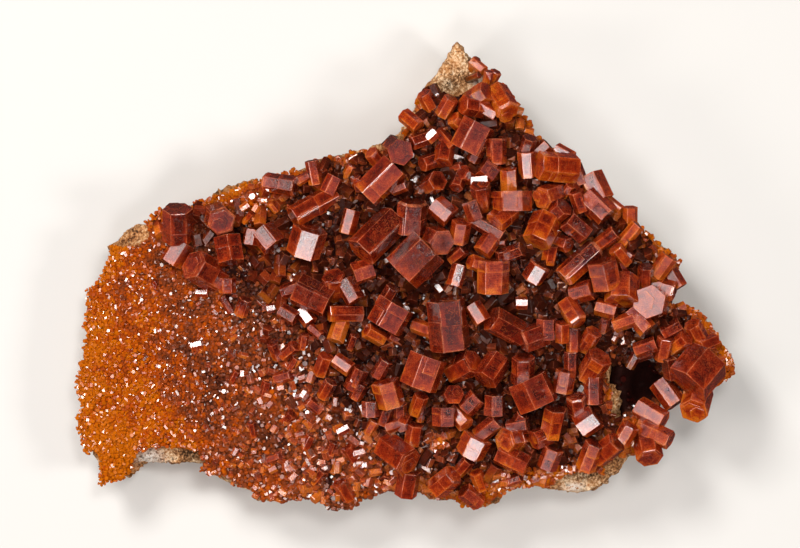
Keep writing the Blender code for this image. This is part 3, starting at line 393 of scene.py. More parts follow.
def bareness(x, y):
    """1 in the middle of a bare patch, 0 at its border and below 0 outside all of them."""
    reach = [1.0 - ((x - cx) / rx) ** 2 - ((y - cy) / ry) ** 2 for cx, cy, rx, ry in BARE + RIM_PATCHES]
    return np.max(reach, axis=0)


def bed_height(x, y):
    """Height of the ground between the crystals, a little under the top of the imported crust."""
    low = rock_height(x, y) + GAP
    return low + (crust_top(x, y) - low) * (0.9 - 0.35 * crystal_zone(x, y))


def ground_height(x, y):
    """Height of what lies between the crystals: bare rock or the bed of the druse."""
    return np.where(bareness(x, y) > 0.0, rock_height(x, y), bed_height(x, y))


def openness(x, y):
    """How much more light than elsewhere reaches down between the crystals: most at the edge."""
    left = np.clip((-8.0 - x) / 10.0, 0, 1)
    return 0.7 * near_edge(x, y, 2.6) + 0.5 * left + 0.8 * golden(x, y) - 1.3 * bump(x, y, *HOLLOW)


def golden(x, y):
    """1 where the druse is golden all over, 0 elsewhere."""
    return bumps(x, y, GOLDEN)


def patches(x, y, scale, layer):
    """Smooth patchy values of about -0.6 to 0.6 over plan points."""
    return np.array([noise.noise((a * scale, b * scale, layer)) for a, b in zip(x, y)])


# ---------------------------------------------------------------- crystal shapes


class Shape:
    """A crystal of width 1 and length 1: its points, its faces and which faces are worn edges."""

    def __init__(self):
        self.points, self.faces, self.rim, self.border = [], [], [], []

    def ring(self, outline, z, scale):
        start = len(self.points)
        self.points += [(x * scale, y * scale, z) for x, y in outline]
        return list(range(start, len(self.points)))

    def face(self, corners, rim, border=0.3):
        """One face with its values at each corner: rim on the edges, border in the zone along them, which the
        finishes use for a painted highlight and a painted glow.
        """
        self.faces.append(tuple(corners))
        self.rim += rim if isinstance(rim, list) else [rim] * len(corners)
        self.border += border if isinstance(border, list) else [border] * len(corners)

    def bridge(self, lower, upper, rim, start=0, step=1):
        n = len(lower)
        for i in range(start, n, step):
            j = (i + 1) % n
            self.face((lower[i], lower[j], upper[j], upper[i]), rim)

    def inset(self, corners, middle, margin, rim, border):
        """A ring of faces toward the middle; the values run from the first number to the second."""
        n, start = len(corners), len(self.points)
        self.points += [tuple(Vector(self.points[i]).lerp(middle, margin)) for i in corners]
        inner = list(range(start, start + n))
        for i in range(n):
            j = (i + 1) % n
            quad = (corners[i], corners[j], inner[j], inner[i])
            self.face(quad, [rim[0], rim[0], rim[1], rim[1]], [border[0], border[0], border[1], border[1]])
        return inner

    def framed_face(self, corners, margin):
        """A face with a narrow edge line, where the finishes paint a pale highlight, and a soft zone inside
        it, where they paint an orange glow.
        """
        places = [Vector(self.points[i]) for i in corners]
        middle = sum(places, Vector((0, 0, 0))) / len(places)
        line = self.inset(corners, middle, margin, (1.0, 0.0), (1.0, 1.0))
        core = self.inset(line, middle, 0.45, (0.0, 0.0), (1.0, 0.0))
        self.face(core, 0.0, 0.0)


def hexagon(cut=0.0):
    """Hexagon one unit across its flats, each corner cut back by that share of an edge."""
    corners = [Vector((math.cos(a), math.sin(a))) / math.sqrt(3) for a in np.radians(range(0, 360, 60))]
    if cut == 0.0:
        return corners
    points = []
    for i, corner in enumerate(corners):
        points.append(corner.lerp(corners[i - 1], cut))
        points.append(corner.lerp(corners[(i + 1) % 6], cut))
    return points


def prism_shape(cut, margin, bevel=0.0, tip=1.0):
    """A hexagonal prism with worn edges; a bevel and a tip below 1 slope its end edges."""
    shape = Shape()
    outline = hexagon(cut)
    bevel = bevel or cut * 0.6
    tip = min(tip, 1.0 - cut)
    levels = [(-0.5, tip), (-0.5 + bevel, 1.0), (0.5 - bevel, 1.0), (0.5, tip)]
    rings = [shape.ring(outline, z, scale) for z, scale in levels]
    shape.bridge(rings[0], rings[1], 1.0)
    shape.bridge(rings[2], rings[3], 1.0)
    shape.bridge(rings[1], rings[2], 1.0, 0, 2)
    for i in range(1, 12, 2):
        j = (i + 1) % 12
        shape.framed_face((rings[1][i], rings[1][j], rings[2][j], rings[2][i]), margin)
    shape.framed_face(rings[3], margin)
    shape.framed_face(rings[0][::-1], margin)
    return shape


def small_prism(cut, bevel):
    """A hexagonal prism with worn edges but no frames, for crystals of a millimetre or two."""
    shape = Shape()
    outline = hexagon(cut)
    levels = [(-0.5, 1.0), (0.5 - bevel, 1.0), (0.5, 1.0 - cut)]
    rings = [shape.ring(outline, z, scale) for z, scale in levels]
    shape.bridge(rings[0], rings[1], 1.0, 0, 2)
    shape.bridge(rings[0], rings[1], 0.0, 1, 2)
    shape.bridge(rings[1], rings[2], 1.0)
    shape.face(rings[2], 0.0)
    shape.face(rings[0][::-1], 0.0)
    return shape


def grain_shape():
    """A plain hexagonal prism for the crystals too small for more, open below."""
    shape = Shape()
    lower, upper = (shape.ring(hexagon(), z, 1.0) for z in (-0.5, 0.5))
    shape.bridge(lower, upper, 0.0)
    shape.face(upper, 0.0)
    return shape


class Pool:
    """Collects many placed shapes into one mesh with the values that colour it."""

    def __init__(self, seed):
        self.points, self.loops, self.totals = [], [], []
        self.values = {"tone": [], "glow": [], "shade": [], "depth": []}
        self.corners = {"rim": [], "border": [], "facet": []}
        self.places = []
        self.count = 0
        self.rng = np.random.default_rng(seed)

    def stamp(self, shape, places, frames, widths, lengths, tones, glows=None):
        """One copy of the shape for each place; the frames hold the crystals' axes as columns."""
        local = np.array(shape.points, dtype=float)
        size = np.stack([widths, widths, lengths], axis=1)
        sized = local[None] * size[:, None, :]
        spread = np.einsum("nij,nvj->nvi", frames, sized)
        loops = np.concatenate([np.array(f) for f in shape.faces])
        totals = np.array([len(f) for f in shape.faces])
        copies = len(places)
        shift = self.count + np.arange(copies) * len(local)
        self.points.append((spread + places[:, None, :]).reshape(-1, 3))
        self.loops.append((loops[None] + shift[:, None]).ravel())
        self.totals.append(np.tile(totals, copies))
        # Painted glow: how far each point lies toward the side where the glow is painted, times a random
        # strength for each crystal.
        lean = (spread @ np.array(PAINTED_GLOW_SIDE)) / widths[:, None]
        strength = self.rng.uniform(0.0, 1.0, copies) if glows is None else glows
        self.values["glow"].append((lean * strength[:, None]).ravel())
        self.values["tone"].append(np.repeat(tones, len(local)))
        x, y = places[:, 0], places[:, 1]
        self.values["shade"].append(np.repeat(druse_shade(x, y), len(local)))
        # Depth: height over the ground, faded by the zone, plus openness. The finishes paint shade where it
        # is low.
        above = spread[:, :, 2] + (places[:, 2] - ground_height(x, y))[:, None]
        fading = 0.3 + 2.4 * crystal_zone(x, y)
        depth = above / fading[:, None] + openness(x, y)[:, None]
        self.values["depth"].append(depth.ravel())
        self.corners["rim"].append(np.tile(shape.rim, copies))
        self.corners["border"].append(np.tile(shape.border, copies))
        facets = self.rng.uniform(0.0, 1.0, copies * len(totals))
        self.corners["facet"].append(np.repeat(facets, np.tile(totals, copies)))
        offset = self.rng.uniform(-50.0, 50.0, (copies, 1, 3))
        self.places.append((sized + offset).reshape(-1, 3))
        self.count += copies * len(local)

    def build(self, name, material):
        points = np.concatenate(self.points) * MM
        loops, totals = np.concatenate(self.loops), np.concatenate(self.totals)
        mesh = bpy.data.meshes.new(name)
        mesh.vertices.add(len(points))
        mesh.vertices.foreach_set("co", points.ravel())
        mesh.loops.add(len(loops))
        mesh.loops.foreach_set("vertex_index", loops.astype(np.int32))
        mesh.polygons.add(len(totals))
        mesh.polygons.foreach_set("loop_start", (np.cumsum(totals) - totals).astype(np.int32))
        for kind, layers in (("POINT", self.values), ("CORNER", self.corners)):
            for key, parts in layers.items():
                layer = mesh.attributes.new(key, "FLOAT", kind)
                layer.data.foreach_set("value", np.concatenate(parts).astype(np.float32))
        layer = mesh.attributes.new("place", "FLOAT_VECTOR", "POINT")
        layer.data.foreach_set("vector", np.concatenate(self.places).astype(np.float32).ravel())
        mesh.update(calc_edges=True)
        mesh.validate()
        mesh.shade_flat()
        return add_piece(name, mesh, material)


def linked(name, data):
    """A new object with that data, in the scene."""
    made = bpy.data.objects.new(name, data)
    bpy.context.scene.collection.objects.link(made)
    return made


def add_piece(name, mesh, material):
    piece = linked(name, mesh)
    mesh.materials.append(material)
    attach(piece, "root")
    return piece


def axes(heading, rise, turn):
    """Axes of prisms as columns: the last along c, the second out of the face turned up."""
    heading, rise, turn = np.radians(heading), np.radians(rise), np.radians(turn)
    c_axis = np.stack([np.cos(rise) * np.cos(heading), np.cos(rise) * np.sin(heading), np.sin(rise)], -1)
    up = np.array([0.0, 0.0, 1.0]) - c_axis * c_axis[:, 2:]
    up /= np.linalg.norm(up, axis=1)[:, None]
    face = up * np.cos(turn)[:, None] + np.cross(c_axis, up) * np.sin(turn)[:, None]
    side = np.cross(face, c_axis)
    return np.stack([side, face, c_axis], axis=2)


def direction(azimuth, height):
    azimuth, height = math.radians(azimuth), math.radians(height)
    level = math.cos(height)
    return Vector((level * math.cos(azimuth), level * math.sin(azimuth), math.sin(height)))


def mirror_normal(light):
    """Normal of a face that throws the light straight up."""
    azimuth, height = LIGHTS[light][:2]
    return (direction(azimuth, height) + Vector((0, 0, 1))).normalized()


def nearest_face(axes_of_one, normal):
    """Normal of the prism face or end that is nearest to the given one."""
    side, face, c_axis = (Vector(axes_of_one[:, i]) for i in range(3))
    steps = [k * math.pi / 3 for k in range(6)]
    faces = [face * math.cos(a) + side * math.sin(a) for a in steps] + [c_axis]
    return max(faces, key=lambda v: v.dot(normal))


def turned_to(axes_of_one, light, rng):
    """The same axes, turned as little as makes one face mirror most of the light."""
    normal = mirror_normal(light)
    normal = (normal + Vector(rng.normal(0.0, 0.02, 3))).normalized()
    turn = nearest_face(axes_of_one, normal).rotation_difference(normal)
    return np.array(turn.to_matrix()) @ axes_of_one


def turned_from(axes_of_one, light, clearance):
    """The same axes, turned as little as keeps every face that many degrees from mirroring the light."""
    normal = mirror_normal(light)
    face = nearest_face(axes_of_one, normal)
    lacking = math.radians(clearance) - face.angle(normal)
    if lacking <= 0.0:
        return axes_of_one
    turn = Matrix.Rotation(lacking, 3, normal.cross(face).normalized())
    return np.array(turn) @ axes_of_one


def turn_clear(frames, which, lights, clearance=CLEAR_OF_LIGHTS):
    """Turns the crystals of the given numbers until they mirror none of the lights."""
    for light in lights:
        for i in which:
            frames[i] = turned_from(frames[i], light, clearance)


def sparkle(frames, rng, share, bright):
    """Turns that share of the crystals so that one face mirrors a light; tells which ones.

    The four lights in front of the cards are mirrored in the bright share of them.
    """
    chosen = rng.random(len(frames)) < share
    bright = np.broadcast_to(bright, len(frames))
    for i in np.flatnonzero(chosen):
        odds = np.append(bright[i] * GLINT_ODDS, (1.0 - bright[i]) * CARD_ODDS)
        normal = mirror_normal(rng.choice(list(LIGHTS), p=odds))
        face = (normal + Vector(rng.normal(0.0, 0.04, 3))).normalized()
        side = face.cross(Vector(rng.normal(0.0, 1.0, 3))).normalized()
        frames[i] = np.array([side, face, side.cross(face)]).T
    return chosen


def settle(x, y, width, length, frames, level, bury=BURY, root=ROOT):
    """Middle points of crystals sunk into a surface, and their lengths with the hidden root."""
    c_axis = frames[:, :, 2]
    flat = np.hypot(c_axis[:, 0], c_axis[:, 1])
    half = 0.5 * (length * c_axis[:, 2] + width * flat)
    root = root * c_axis[:, 2]
    middle = np.stack([x, y, level + bury * half], axis=1) - c_axis * (root / 2.0)[:, None]
    return middle, length + root


# ---------------------------------------------------------------- pieces


def large_crystals(material):
    """The main crystals, with the blocks that have grown on them in parallel."""
    rows = np.array(CRYSTALS + SMALL_CRYSTALS)
    x, y, width, length, heading, rise, turn, tone = rows.T
    frames = axes(heading, rise, turn)
    pool = Pool(3)
    rng = pool.rng
    # Each light is gone through twice, as turning away from one can turn a face to another.
    strong = [name for name, (*_, radiance, colour) in LIGHTS.items() if radiance > BRIGHT]
    turn_clear(frames, range(len(rows)), strong * 2)
    for at_x, at_y, light in MIRRORS:
        nearest = np.argmin(np.hypot(x - at_x, y - at_y))
        frames[nearest] = turned_to(frames[nearest], light, rng)
    dark = [np.argmin(np.hypot(x - at_x, y - at_y)) for at_x, at_y in DARK]
    turn_clear(frames, dark, list(LIGHTS) * 2, CLEAR_WHEN_DARK)
    ground = np.where(bareness(x, y) > 0.0, rock_height(x, y), crust_top(x, y))
    middle, full = settle(x, y, width, length, frames, ground)
    wide, slim = prism_shape(0.018, 0.03), prism_shape(0.03, 0.05)
    worn = prism_shape(0.02, 0.03, 0.07, 0.86)
    kinds = np.where(width < 2.6, 1, np.where((rng.random(len(rows)) < 0.3) & (width < 4.2), 2, 0))
    glow = rng.uniform(0.3, 1.0, len(rows))
    for kind, shape in enumerate((wide, slim, worn)):
        pick = kinds == kind
        pool.stamp(shape, middle[pick], frames[pick], width[pick], full[pick], tone[pick], glow[pick])
    add_collars(pool, wide, middle, frames, width, full, tone, glow)
    add_plates(pool, wide, middle, frames, width, full, tone, glow)
    add_terraces(pool, slim, middle, frames, width, full, tone, glow)
    piece = pool.build("large_crystals", material)
    large = [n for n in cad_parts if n.startswith(("cluster", "crystal"))]
    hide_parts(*large)


def random_side(rng, frames):
    """Directions out of a random side of each prism, and across that side."""
    angle = rng.integers(0, 6, len(frames)) * math.pi / 3 + math.pi / 6
    cos, sin = np.cos(angle)[:, None], np.sin(angle)[:, None]
    across, over = frames[:, :, 0], frames[:, :, 1]
    return across * cos + over * sin, over * cos - across * sin


def add_collars(pool, shape, middle, frames, width, full, tone, glow):
    """A slightly wider length at one end of some crystals: a growth step across the prism."""
    rng = pool.rng
    own = np.flatnonzero((width > 2.4) & (rng.random(len(width)) < 0.6))
    share = rng.uniform(0.3, 0.62, len(own))
    end = rng.choice((-1.0, 1.0), len(own))
    shift = end * (0.5 * (1.0 - share) - 0.02) * full[own]
    place = middle[own] + frames[own, :, 2] * shift[:, None]
    side, _ = random_side(rng, frames[own])
    place = place + side * (width[own] * 0.02)[:, None]
    swell = 1.0 + rng.uniform(0.015, 0.05, len(own))
    pool.stamp(shape, place, frames[own], width[own] * swell, full[own] * share, tone[own], glow[own])


def add_plates(pool, shape, middle, frames, width, full, tone, glow):
    """Narrower prisms grown a little out of the sides and up to one end: steps along the prism."""
    rng = pool.rng
    own = np.repeat(np.flatnonzero(width > 2.2), 2)
    own = own[rng.random(len(own)) < 0.6]
    share = rng.uniform(0.55, 0.93, len(own))
    side, along = random_side(rng, frames[own])
    stand = rng.uniform(0.008, 0.04, len(own))
    out = (0.5 * (1.0 - share) + stand) * width[own]
    drift = rng.uniform(-0.3, 0.3, len(own)) * (1.0 - share) * width[own]
    reach = rng.uniform(0.45, 0.97, len(own))
    shift = rng.choice((-1.0, 1.0), len(own)) * (0.5 * (1.0 - reach) + 0.004) * full[own]
    place = middle[own] + side * out[:, None] + along * drift[:, None] + frames[own, :, 2] * shift[:, None]
    tones = np.clip(tone[own] + rng.uniform(-0.1, 0.1, len(own)), 0, 1)
    pool.stamp(shape, place, frames[own], width[own] * share, full[own] * reach, tones, glow[own])


def add_terraces(pool, shape, middle, frames, width, full, tone, glow):
    """Low steps on the ends of the larger crystals that show them."""
    rng = pool.rng
    ends = (width > 2.8) & (frames[:, 2, 2] > 0.45) & (rng.random(len(width)) < 0.45)
    own = np.repeat(np.flatnonzero(ends), 2)
    share = np.tile([0.82, 0.58], len(own) // 2) * rng.uniform(0.9, 1.05, len(own))
    rise = np.tile([0.1, 0.2], len(own) // 2)
    place = middle[own] + frames[own, :, 2] * (0.5 * full[own] + rise - 0.5)[:, None]
    for k in (0, 1):
        drift = rng.uniform(-0.45, 0.45, len(own)) * (1.0 - share) * width[own]
        place = place + frames[own, :, k] * drift[:, None]
    pool.stamp(shape, place, frames[own], width[own] * share, np.ones(len(own)), tone[own], glow[own])


def scatter(spacing, seed, edge=0.3, spread=0.48):
    """Jittered plan points over the whole plate, clear of its edge and of the bare rock."""
    rng = np.random.default_rng(seed)
    gx, gy = np.meshgrid(np.arange(*FIELD_X, spacing), np.arange(*FIELD_Y, spacing))
    x = gx.ravel() + rng.uniform(-spread, spread, gx.size) * spacing
    y = gy.ravel() + rng.uniform(-spread, spread, gx.size) * spacing
    inside = (edge_distance(x, y) > edge) & (bareness(x, y) < 0.0)
    return x[inside], y[inside], rng


def coarseness(x, y):
    """Size of the druse's crystals, from 0 at the left edge to 1 below the middle."""
    return smooth(np.clip((x + 36.0 - 0.12 * y) / 30.0, 0, 1))


def druse_shade(x, y):
    """Colour of the druse, from 0 (golden) by 0.5 (red brown) to 1 (painted shade, nearly black, between the
    crystals).
    """
    shade = 0.1 + 0.4 * np.clip((x + 47.0) / 18.0, 0, 1) + 0.15 * np.clip((x + 27.0) / 20.0, 0, 1)
    shade = shade - 0.25 * bump(x, y, -40, -23, 9, 6) + 0.12 * bump(x, y, -36, 2, 8, 6)
    shade = shade + 0.3 * patches(x, y, 0.22, 3.0) + 0.25 * patches(x, y, 0.7, 8.0)
    reach = 2.2 + 1.6 * np.clip((-20.0 - y) / 8.0, 0, 1)
    inner = 1.0 - near_edge(x, y, reach)
    zone = crystal_zone(x, y)
    # Painted shade: away from the rim the crystal zone is darker, as shade between the large crystals. Near
    # the rim the druse is golden.
    shade = shade - (0.15 + 0.35 * zone) * (1.0 - inner) + 0.3 * zone * inner
    gold = golden(x, y)
    # Painted shade: the hollow is darkened nearly to black.
    return (shade + 1.2 * bump(x, y, *HOLLOW)) * (1.0 - gold) + 0.12 * gold


def random_axes(rng, count, low, high):
    return axes(rng.uniform(0, 360, count), rng.uniform(low, high, count), rng.uniform(-30, 30, count))


def filling_crystals(material):
    """Crystals that fill the gaps under and between the main ones."""
    x, y, rng = scatter(FILL_SPACING, 17, 1.6)
    zone = crystal_zone(x, y)
    keep = (rng.random(len(x)) < zone) & (bump(x, y, *HOLLOW) < 0.05) & (golden(x, y) < 0.4)
    x, y = x[keep], y[keep]
    count = len(x)
    low, high = FILL_WIDTH
    width = low + (high - low) * rng.random(count) ** 1.5
    length = width * rng.uniform(0.8, 1.5, count)
    frames = random_axes(rng, count, 0, 50)
    bright = sparkle(frames, rng, 0.035, 0.8)
    turn_clear(frames, np.flatnonzero(~bright), LIGHTS)
    level = crust_top(x, y) - 1.2 + rng.uniform(-0.4, 0.7, count)
    middle, full = settle(x, y, width, length, frames, level, 0.3, 1.0)
    pool = Pool(18)
    pool.stamp(small_prism(0.03, 0.03), middle, frames, width, full, 0.1 + 0.8 * rng.random(count) ** 1.3)
    pool.build("filling_crystals", material)


def middle_grains(material):
    """Crystals of about a millimetre on the druse between the fine field and the main ones."""
    x, y, rng = scatter(MIDDLE_SPACING, 41)
    coarse = coarseness(x, y)
    inner = np.clip(edge_distance(x, y) / 1.5, 0, 1)
    inner = inner * (bump(x, y, *HOLLOW) < 0.3)
    keep = rng.random(len(x)) < (0.04 + 0.75 * coarse) * inner
    x, y, coarse = x[keep], y[keep], coarse[keep]
    count = len(x)
    low, high = MIDDLE_WIDTH
    width = low + (high - low) * rng.random(count) ** 1.6 * (0.3 + 0.7 * coarse)
    length = width * rng.uniform(0.8, 1.4, count)
    frames = random_axes(rng, count, 0, 40)
    zone = crystal_zone(x, y)
    bright = sparkle(frames, rng, 0.24 - 0.17 * zone, 0.14 + 0.6 * zone)
    turn_clear(frames, np.flatnonzero(~bright & (zone > 0.6)), LIGHTS)
    level = crust_top(x, y) - zone
    middle, full = settle(x, y, width, length, frames, level, 0.5, 0.5)
    tones = rng.uniform(0.15, 0.85, count) + 0.5 * np.clip(1.0 - edge_distance(x, y) / 4.0, 0, 1)
    pool = Pool(42)
    pool.stamp(small_prism(0.04, 0.04), middle, frames, width, full, tones)
    pool.build("middle_grains", material)


def fine_grains(material):
    """The finest crystals of the druse, closest together in the field at the left."""
    x, y, rng = scatter(GRAIN_SPACING, 29, 0.15)
    zone, coarse = crystal_zone(x, y), coarseness(x, y)
    share = 1.0 - 0.45 * coarse - 0.25 * zone + 0.5 * near_edge(x, y, 2.0) + 0.6 * golden(x, y)
    share = share - 0.5 * bump(x, y, *HOLLOW)
    keep = rng.random(len(x)) < share
    x, y, zone, coarse = x[keep], y[keep], zone[keep], coarse[keep]
    count = len(x)
    low, high = GRAIN_WIDTH
    width = low + (high - low) * rng.random(count) ** 2 + 0.3 * coarse * rng.random(count)
    length = width * rng.uniform(0.8, 1.5, count)
    frames = random_axes(rng, count, 5, 80)
    nest = bumps(x, y, NESTS)
    bright = sparkle(frames, rng, 0.06 + 0.03 * coarse + 0.5 * nest, 0.22)
    width = np.where(bright, (0.16 + 0.24 * coarse) * (1.0 + rng.random(count)), width)
    level = bed_height(x, y) + 0.05 + 0.15 * bright + 0.7 * nest
    middle, full = settle(x, y, width, length, frames, level, 0.3, 0.1)
    pool = Pool(30)
    tones = rng.uniform(0.0, 1.0, count)
    half = x < -22.0
    shape = grain_shape()
    pool.stamp(shape, middle[half], frames[half], width[half], full[half], tones[half])
    pool.build("fine_grains_left", material)
    pool = Pool(31)
    pool.stamp(shape, middle[~half], frames[~half], width[~half], full[~half], tones[~half])
    pool.build("fine_grains_right", material)


def druse_bed(material):
    """The ground that the grains grow from: the crust's surface, finely lumpy."""
    gx, gy = np.meshgrid(np.arange(*BED_X, BED_SPACING), np.arange(*BED_Y, BED_SPACING))
    x, y = gx.ravel(), gy.ravel()
    inside = edge_distance(x, y) > 0.25
    covered = inside & (bareness(x, y) < 0.1)
    z = bed_height(x, y) + 0.25 * patches(x, y, 1.1, 0.3)
    rows, columns = gx.shape
    index = np.arange(rows * columns).reshape(rows, columns)
    quads = np.stack([index[:-1, :-1], index[:-1, 1:], index[1:, 1:], index[1:, :-1]], -1).reshape(-1, 4)
    quads = quads[covered[quads].all(1)]
    used, quads = np.unique(quads, return_inverse=True)
    points = np.stack([x, y, z], 1)[used] * MM
    mesh = bpy.data.meshes.new("druse_bed")
    mesh.from_pydata(points.tolist(), [], quads.reshape(-1, 4).tolist())
    mesh.validate()
    layer = mesh.attributes.new("shade", "FLOAT", "POINT")
    layer.data.foreach_set("value", druse_shade(x[used], y[used]).astype(np.float32))
    piece = add_piece("druse_bed", mesh, material)
    skin = piece.modifiers.new("thickness", "SOLIDIFY")
    skin.thickness = BED_THICKNESS * MM
    skin.offset = -1.0
    mesh.shade_smooth()
    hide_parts("druse_crust")


def rock(material):
    """The matrix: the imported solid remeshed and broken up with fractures, grain and pits."""
    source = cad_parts["matrix"]
    mesh = source.data.copy()
    mesh.name = "rock"
    mesh.materials.clear()
    piece = add_piece("rock", mesh, material)
    grid = piece.modifiers.new("grid", "REMESH")
    grid.mode = "VOXEL"
    grid.voxel_size = ROCK_GRID * MM
    bpy.context.view_layer.update()
    dense = bpy.data.meshes.new_from_object(piece.evaluated_get(bpy.context.evaluated_depsgraph_get()))
    piece.modifiers.clear()
    piece.data = dense
    dense.materials.clear()
    dense.materials.append(material)
    count = len(dense.vertices)
    points, normals = np.empty(count * 3), np.empty(count * 3)
    dense.vertices.foreach_get("co", points)
    dense.vertices.foreach_get("normal", normals)
    points, normals = points.reshape(-1, 3), normals.reshape(-1, 3)
    bare = bareness(points[:, 0] / MM, points[:, 1] / MM)
    # The bare patches and the top break less, so that the outline keeps its line.
    low_down = np.clip((11.0 - points[:, 2] / MM) / 3.0, 0.2, 1.0)
    broken = np.minimum(np.clip(0.4 - bare, 0.2, 1.0), low_down)
    depth = np.array([rough_rock(Vector(p) / MM, share) for p, share in zip(points, broken)])
    points[:, 1] += PEAK_DRAWN * MM * bump(points[:, 0] / MM, points[:, 1] / MM, *PEAK_TIP)
    free = np.clip(points[:, 2] / (1.5 * MM), 0, 1)
    points += normals * (depth * free * MM)[:, None]
    x, y = points[:, 0] / MM, points[:, 1] / MM
    bare = bareness(x, y)
    roof = np.where((bare < 0.0) & (normals[:, 2] > 0.3), bed_height(x, y) - UNDER_BED, NO_ROOF)
    points[:, 2] = np.clip(points[:, 2], 0.0, roof * MM)
    dense.vertices.foreach_set("co", points.ravel())
    for name, marks in (("chalk", CHALK), ("gravel", GRAVEL)):
        layer = dense.attributes.new(name, "FLOAT", "POINT")
        amount = bumps(x, y, marks)
        amount *= np.clip(points[:, 2] / (3.0 * MM) - 1.0, 0, 1)
        layer.data.foreach_set("value", amount.astype(np.float32))
    layer = dense.attributes.new("stain", "FLOAT", "POINT")
    layer.data.foreach_set("value", np.clip(1.0 - bare / 0.35, 0, 1).astype(np.float32))
    dense.shade_smooth()
    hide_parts("matrix")


def rough_rock(p, broken):
    """Height in millimetres that the rock's surface stands off its smooth form."""
    fractures = broken * sum(fracture(p, size, relief) for size, relief in FRACTURES)
    lumps = noise.noise(p * 0.55)
    grains = noise.noise(p * 1.3) + 1.3 * noise.noise(p * 2.5)
    pits = max(0.0, noise.noise(p * 0.8 + Vector((9.0, 4.0, 2.0))) - 0.15)
    return -0.2 + fractures + 0.2 * lumps + 0.22 * grains - 1.3 * pits


def fracture(p, size, relief):
    """Height of flat faces of about that size, each tilted its own way and parted by small steps."""
    place = p / size
    centre = noise.voronoi(place)[1][0]
    lean = noise.cell_vector(centre * 20.0) - Vector((0.5, 0.5, 0.5))
    return relief * ((place - centre).dot(lean) + 0.3 * (noise.cell(centre * 20.0) - 0.5))


# ---------------------------------------------------------------- material helpers


class Nodes:
    """A node tree with short calls for the nodes that the finishes use."""

    def __init__(self, tree):
        self.tree = tree

    def set(self, socket, value):
        """Links an output to the socket, or gives it a plain number, colour or vector."""
        if isinstance(value, bpy.types.NodeSocket):
            self.tree.links.new(value, socket)
        elif isinstance(value, tuple) and len(value) == 3 and socket.type == "RGBA":
            socket.default_value = (*value, 1.0)
        else:
            socket.default_value = value

    def value(self, name, output="Fac"):
        node = self.tree.nodes.new("ShaderNodeAttribute")
        node.attribute_name = name
        return node.outputs[output]

    def object_place(self):
        return self.tree.nodes.new("ShaderNodeTexCoord").outputs["Object"]

    def ramp(self, factor, *stops):
        node = self.tree.nodes.new("ShaderNodeValToRGB")
        band = node.color_ramp
        while len(band.elements) < len(stops):
            band.elements.new(0.5)
        for element, (place, colour) in zip(band.elements, stops):
            element.position = place
            element.color = (*colour, 1.0)
        self.set(node.inputs["Fac"], factor)
        return node.outputs["Color"]

    def fill(self, node, **values):
        """Sets the node's inputs by name, with underscores for spaces."""
        for name, value in values.items():
            self.set(node.inputs[name.replace("_", " ")], value)

    def math(self, operation, *values):
        node = self.tree.nodes.new("ShaderNodeMath")
        node.operation = operation
        for socket, value in zip(node.inputs, values):
            self.set(socket, value)
        return node.outputs[0]

    def span(self, value, low, high, out_low=0.0, out_high=1.0):
        """The value moved from one range to another, held inside it."""
        node = self.tree.nodes.new("ShaderNodeMapRange")
        for socket, number in zip(node.inputs, (value, low, high, out_low, out_high)):
            self.set(socket, number)
        return node.outputs["Result"]

    def mix(self, factor, a, b, blend="MIX"):
        node = self.tree.nodes.new("ShaderNodeMix")
        node.data_type = "RGBA"
        node.blend_type = blend
        for index, value in ((0, factor), (6, a), (7, b)):
            self.set(node.inputs[index], value)
        return node.outputs[2]

    def stretched(self, vector, scale):
        node = self.tree.nodes.new("ShaderNodeVectorMath")
        node.operation = "MULTIPLY"
        self.set(node.inputs[0], vector)
        self.set(node.inputs[1], scale)
        return node.outputs[0]

    def noise(self, vector, scale, detail=3.0, roughness=0.6):
        node = self.tree.nodes.new("ShaderNodeTexNoise")
        self.fill(node, Vector=vector, Scale=scale, Detail=detail, Roughness=roughness)
        return node.outputs["Fac"]

    def bump(self, height, strength, distance):
        node = self.tree.nodes.new("ShaderNodeBump")
        self.fill(node, Height=height, Strength=strength, Distance=distance)
        return node.outputs["Normal"]

    def group(self, tree, **values):
        """A copy of a node group with its inputs set by name."""
        node = self.tree.nodes.new("ShaderNodeGroup")
        node.node_tree = tree
        self.fill(node, **values)
        return node.outputs


def new_material(name):
    made = bpy.data.materials.new(name)
    made.use_nodes = True
    nodes = Nodes(made.node_tree)
    return made, nodes, made.node_tree.nodes["Principled BSDF"].inputs


def new_group(name, inputs, outputs):
    """An empty node group; its sockets are floats unless they are called Place or Colour."""
    tree = bpy.data.node_groups.new(name, "ShaderNodeTree")
    kinds = {"Place": "NodeSocketVector", "Colour": "NodeSocketColor"}
    for in_out, names in (("INPUT", inputs), ("OUTPUT", outputs)):
        for label in names:
            kind = kinds.get(label, "NodeSocketFloat")
            tree.interface.new_socket(label, in_out=in_out, socket_type=kind)
    inside = tree.nodes.new("NodeGroupInput").outputs
    outside = tree.nodes.new("NodeGroupOutput").inputs
    return tree, Nodes(tree), inside, outside


def mottling_group():
    """Soft clouds, small dark specks and fine grain, each at its own scale."""
    tree, nodes, inside, outside = new_group(
        "mottling", ["Place", "Cloud scale", "Speck scale", "Speck share"], ["Cloud", "Specks", "Grain"]
    )
    cloud = nodes.noise(inside["Place"], inside["Cloud scale"], 4.0, 0.6)
    fine = nodes.noise(inside["Place"], inside["Speck scale"], 2.0, 0.5)
    edge = nodes.math("ADD", inside["Speck share"], 0.12)
    nodes.set(outside["Cloud"], cloud)
    nodes.set(outside["Specks"], nodes.math("SUBTRACT", 1.0, nodes.span(fine, inside["Speck share"], edge)))
    nodes.set(outside["Grain"], fine)
    return tree


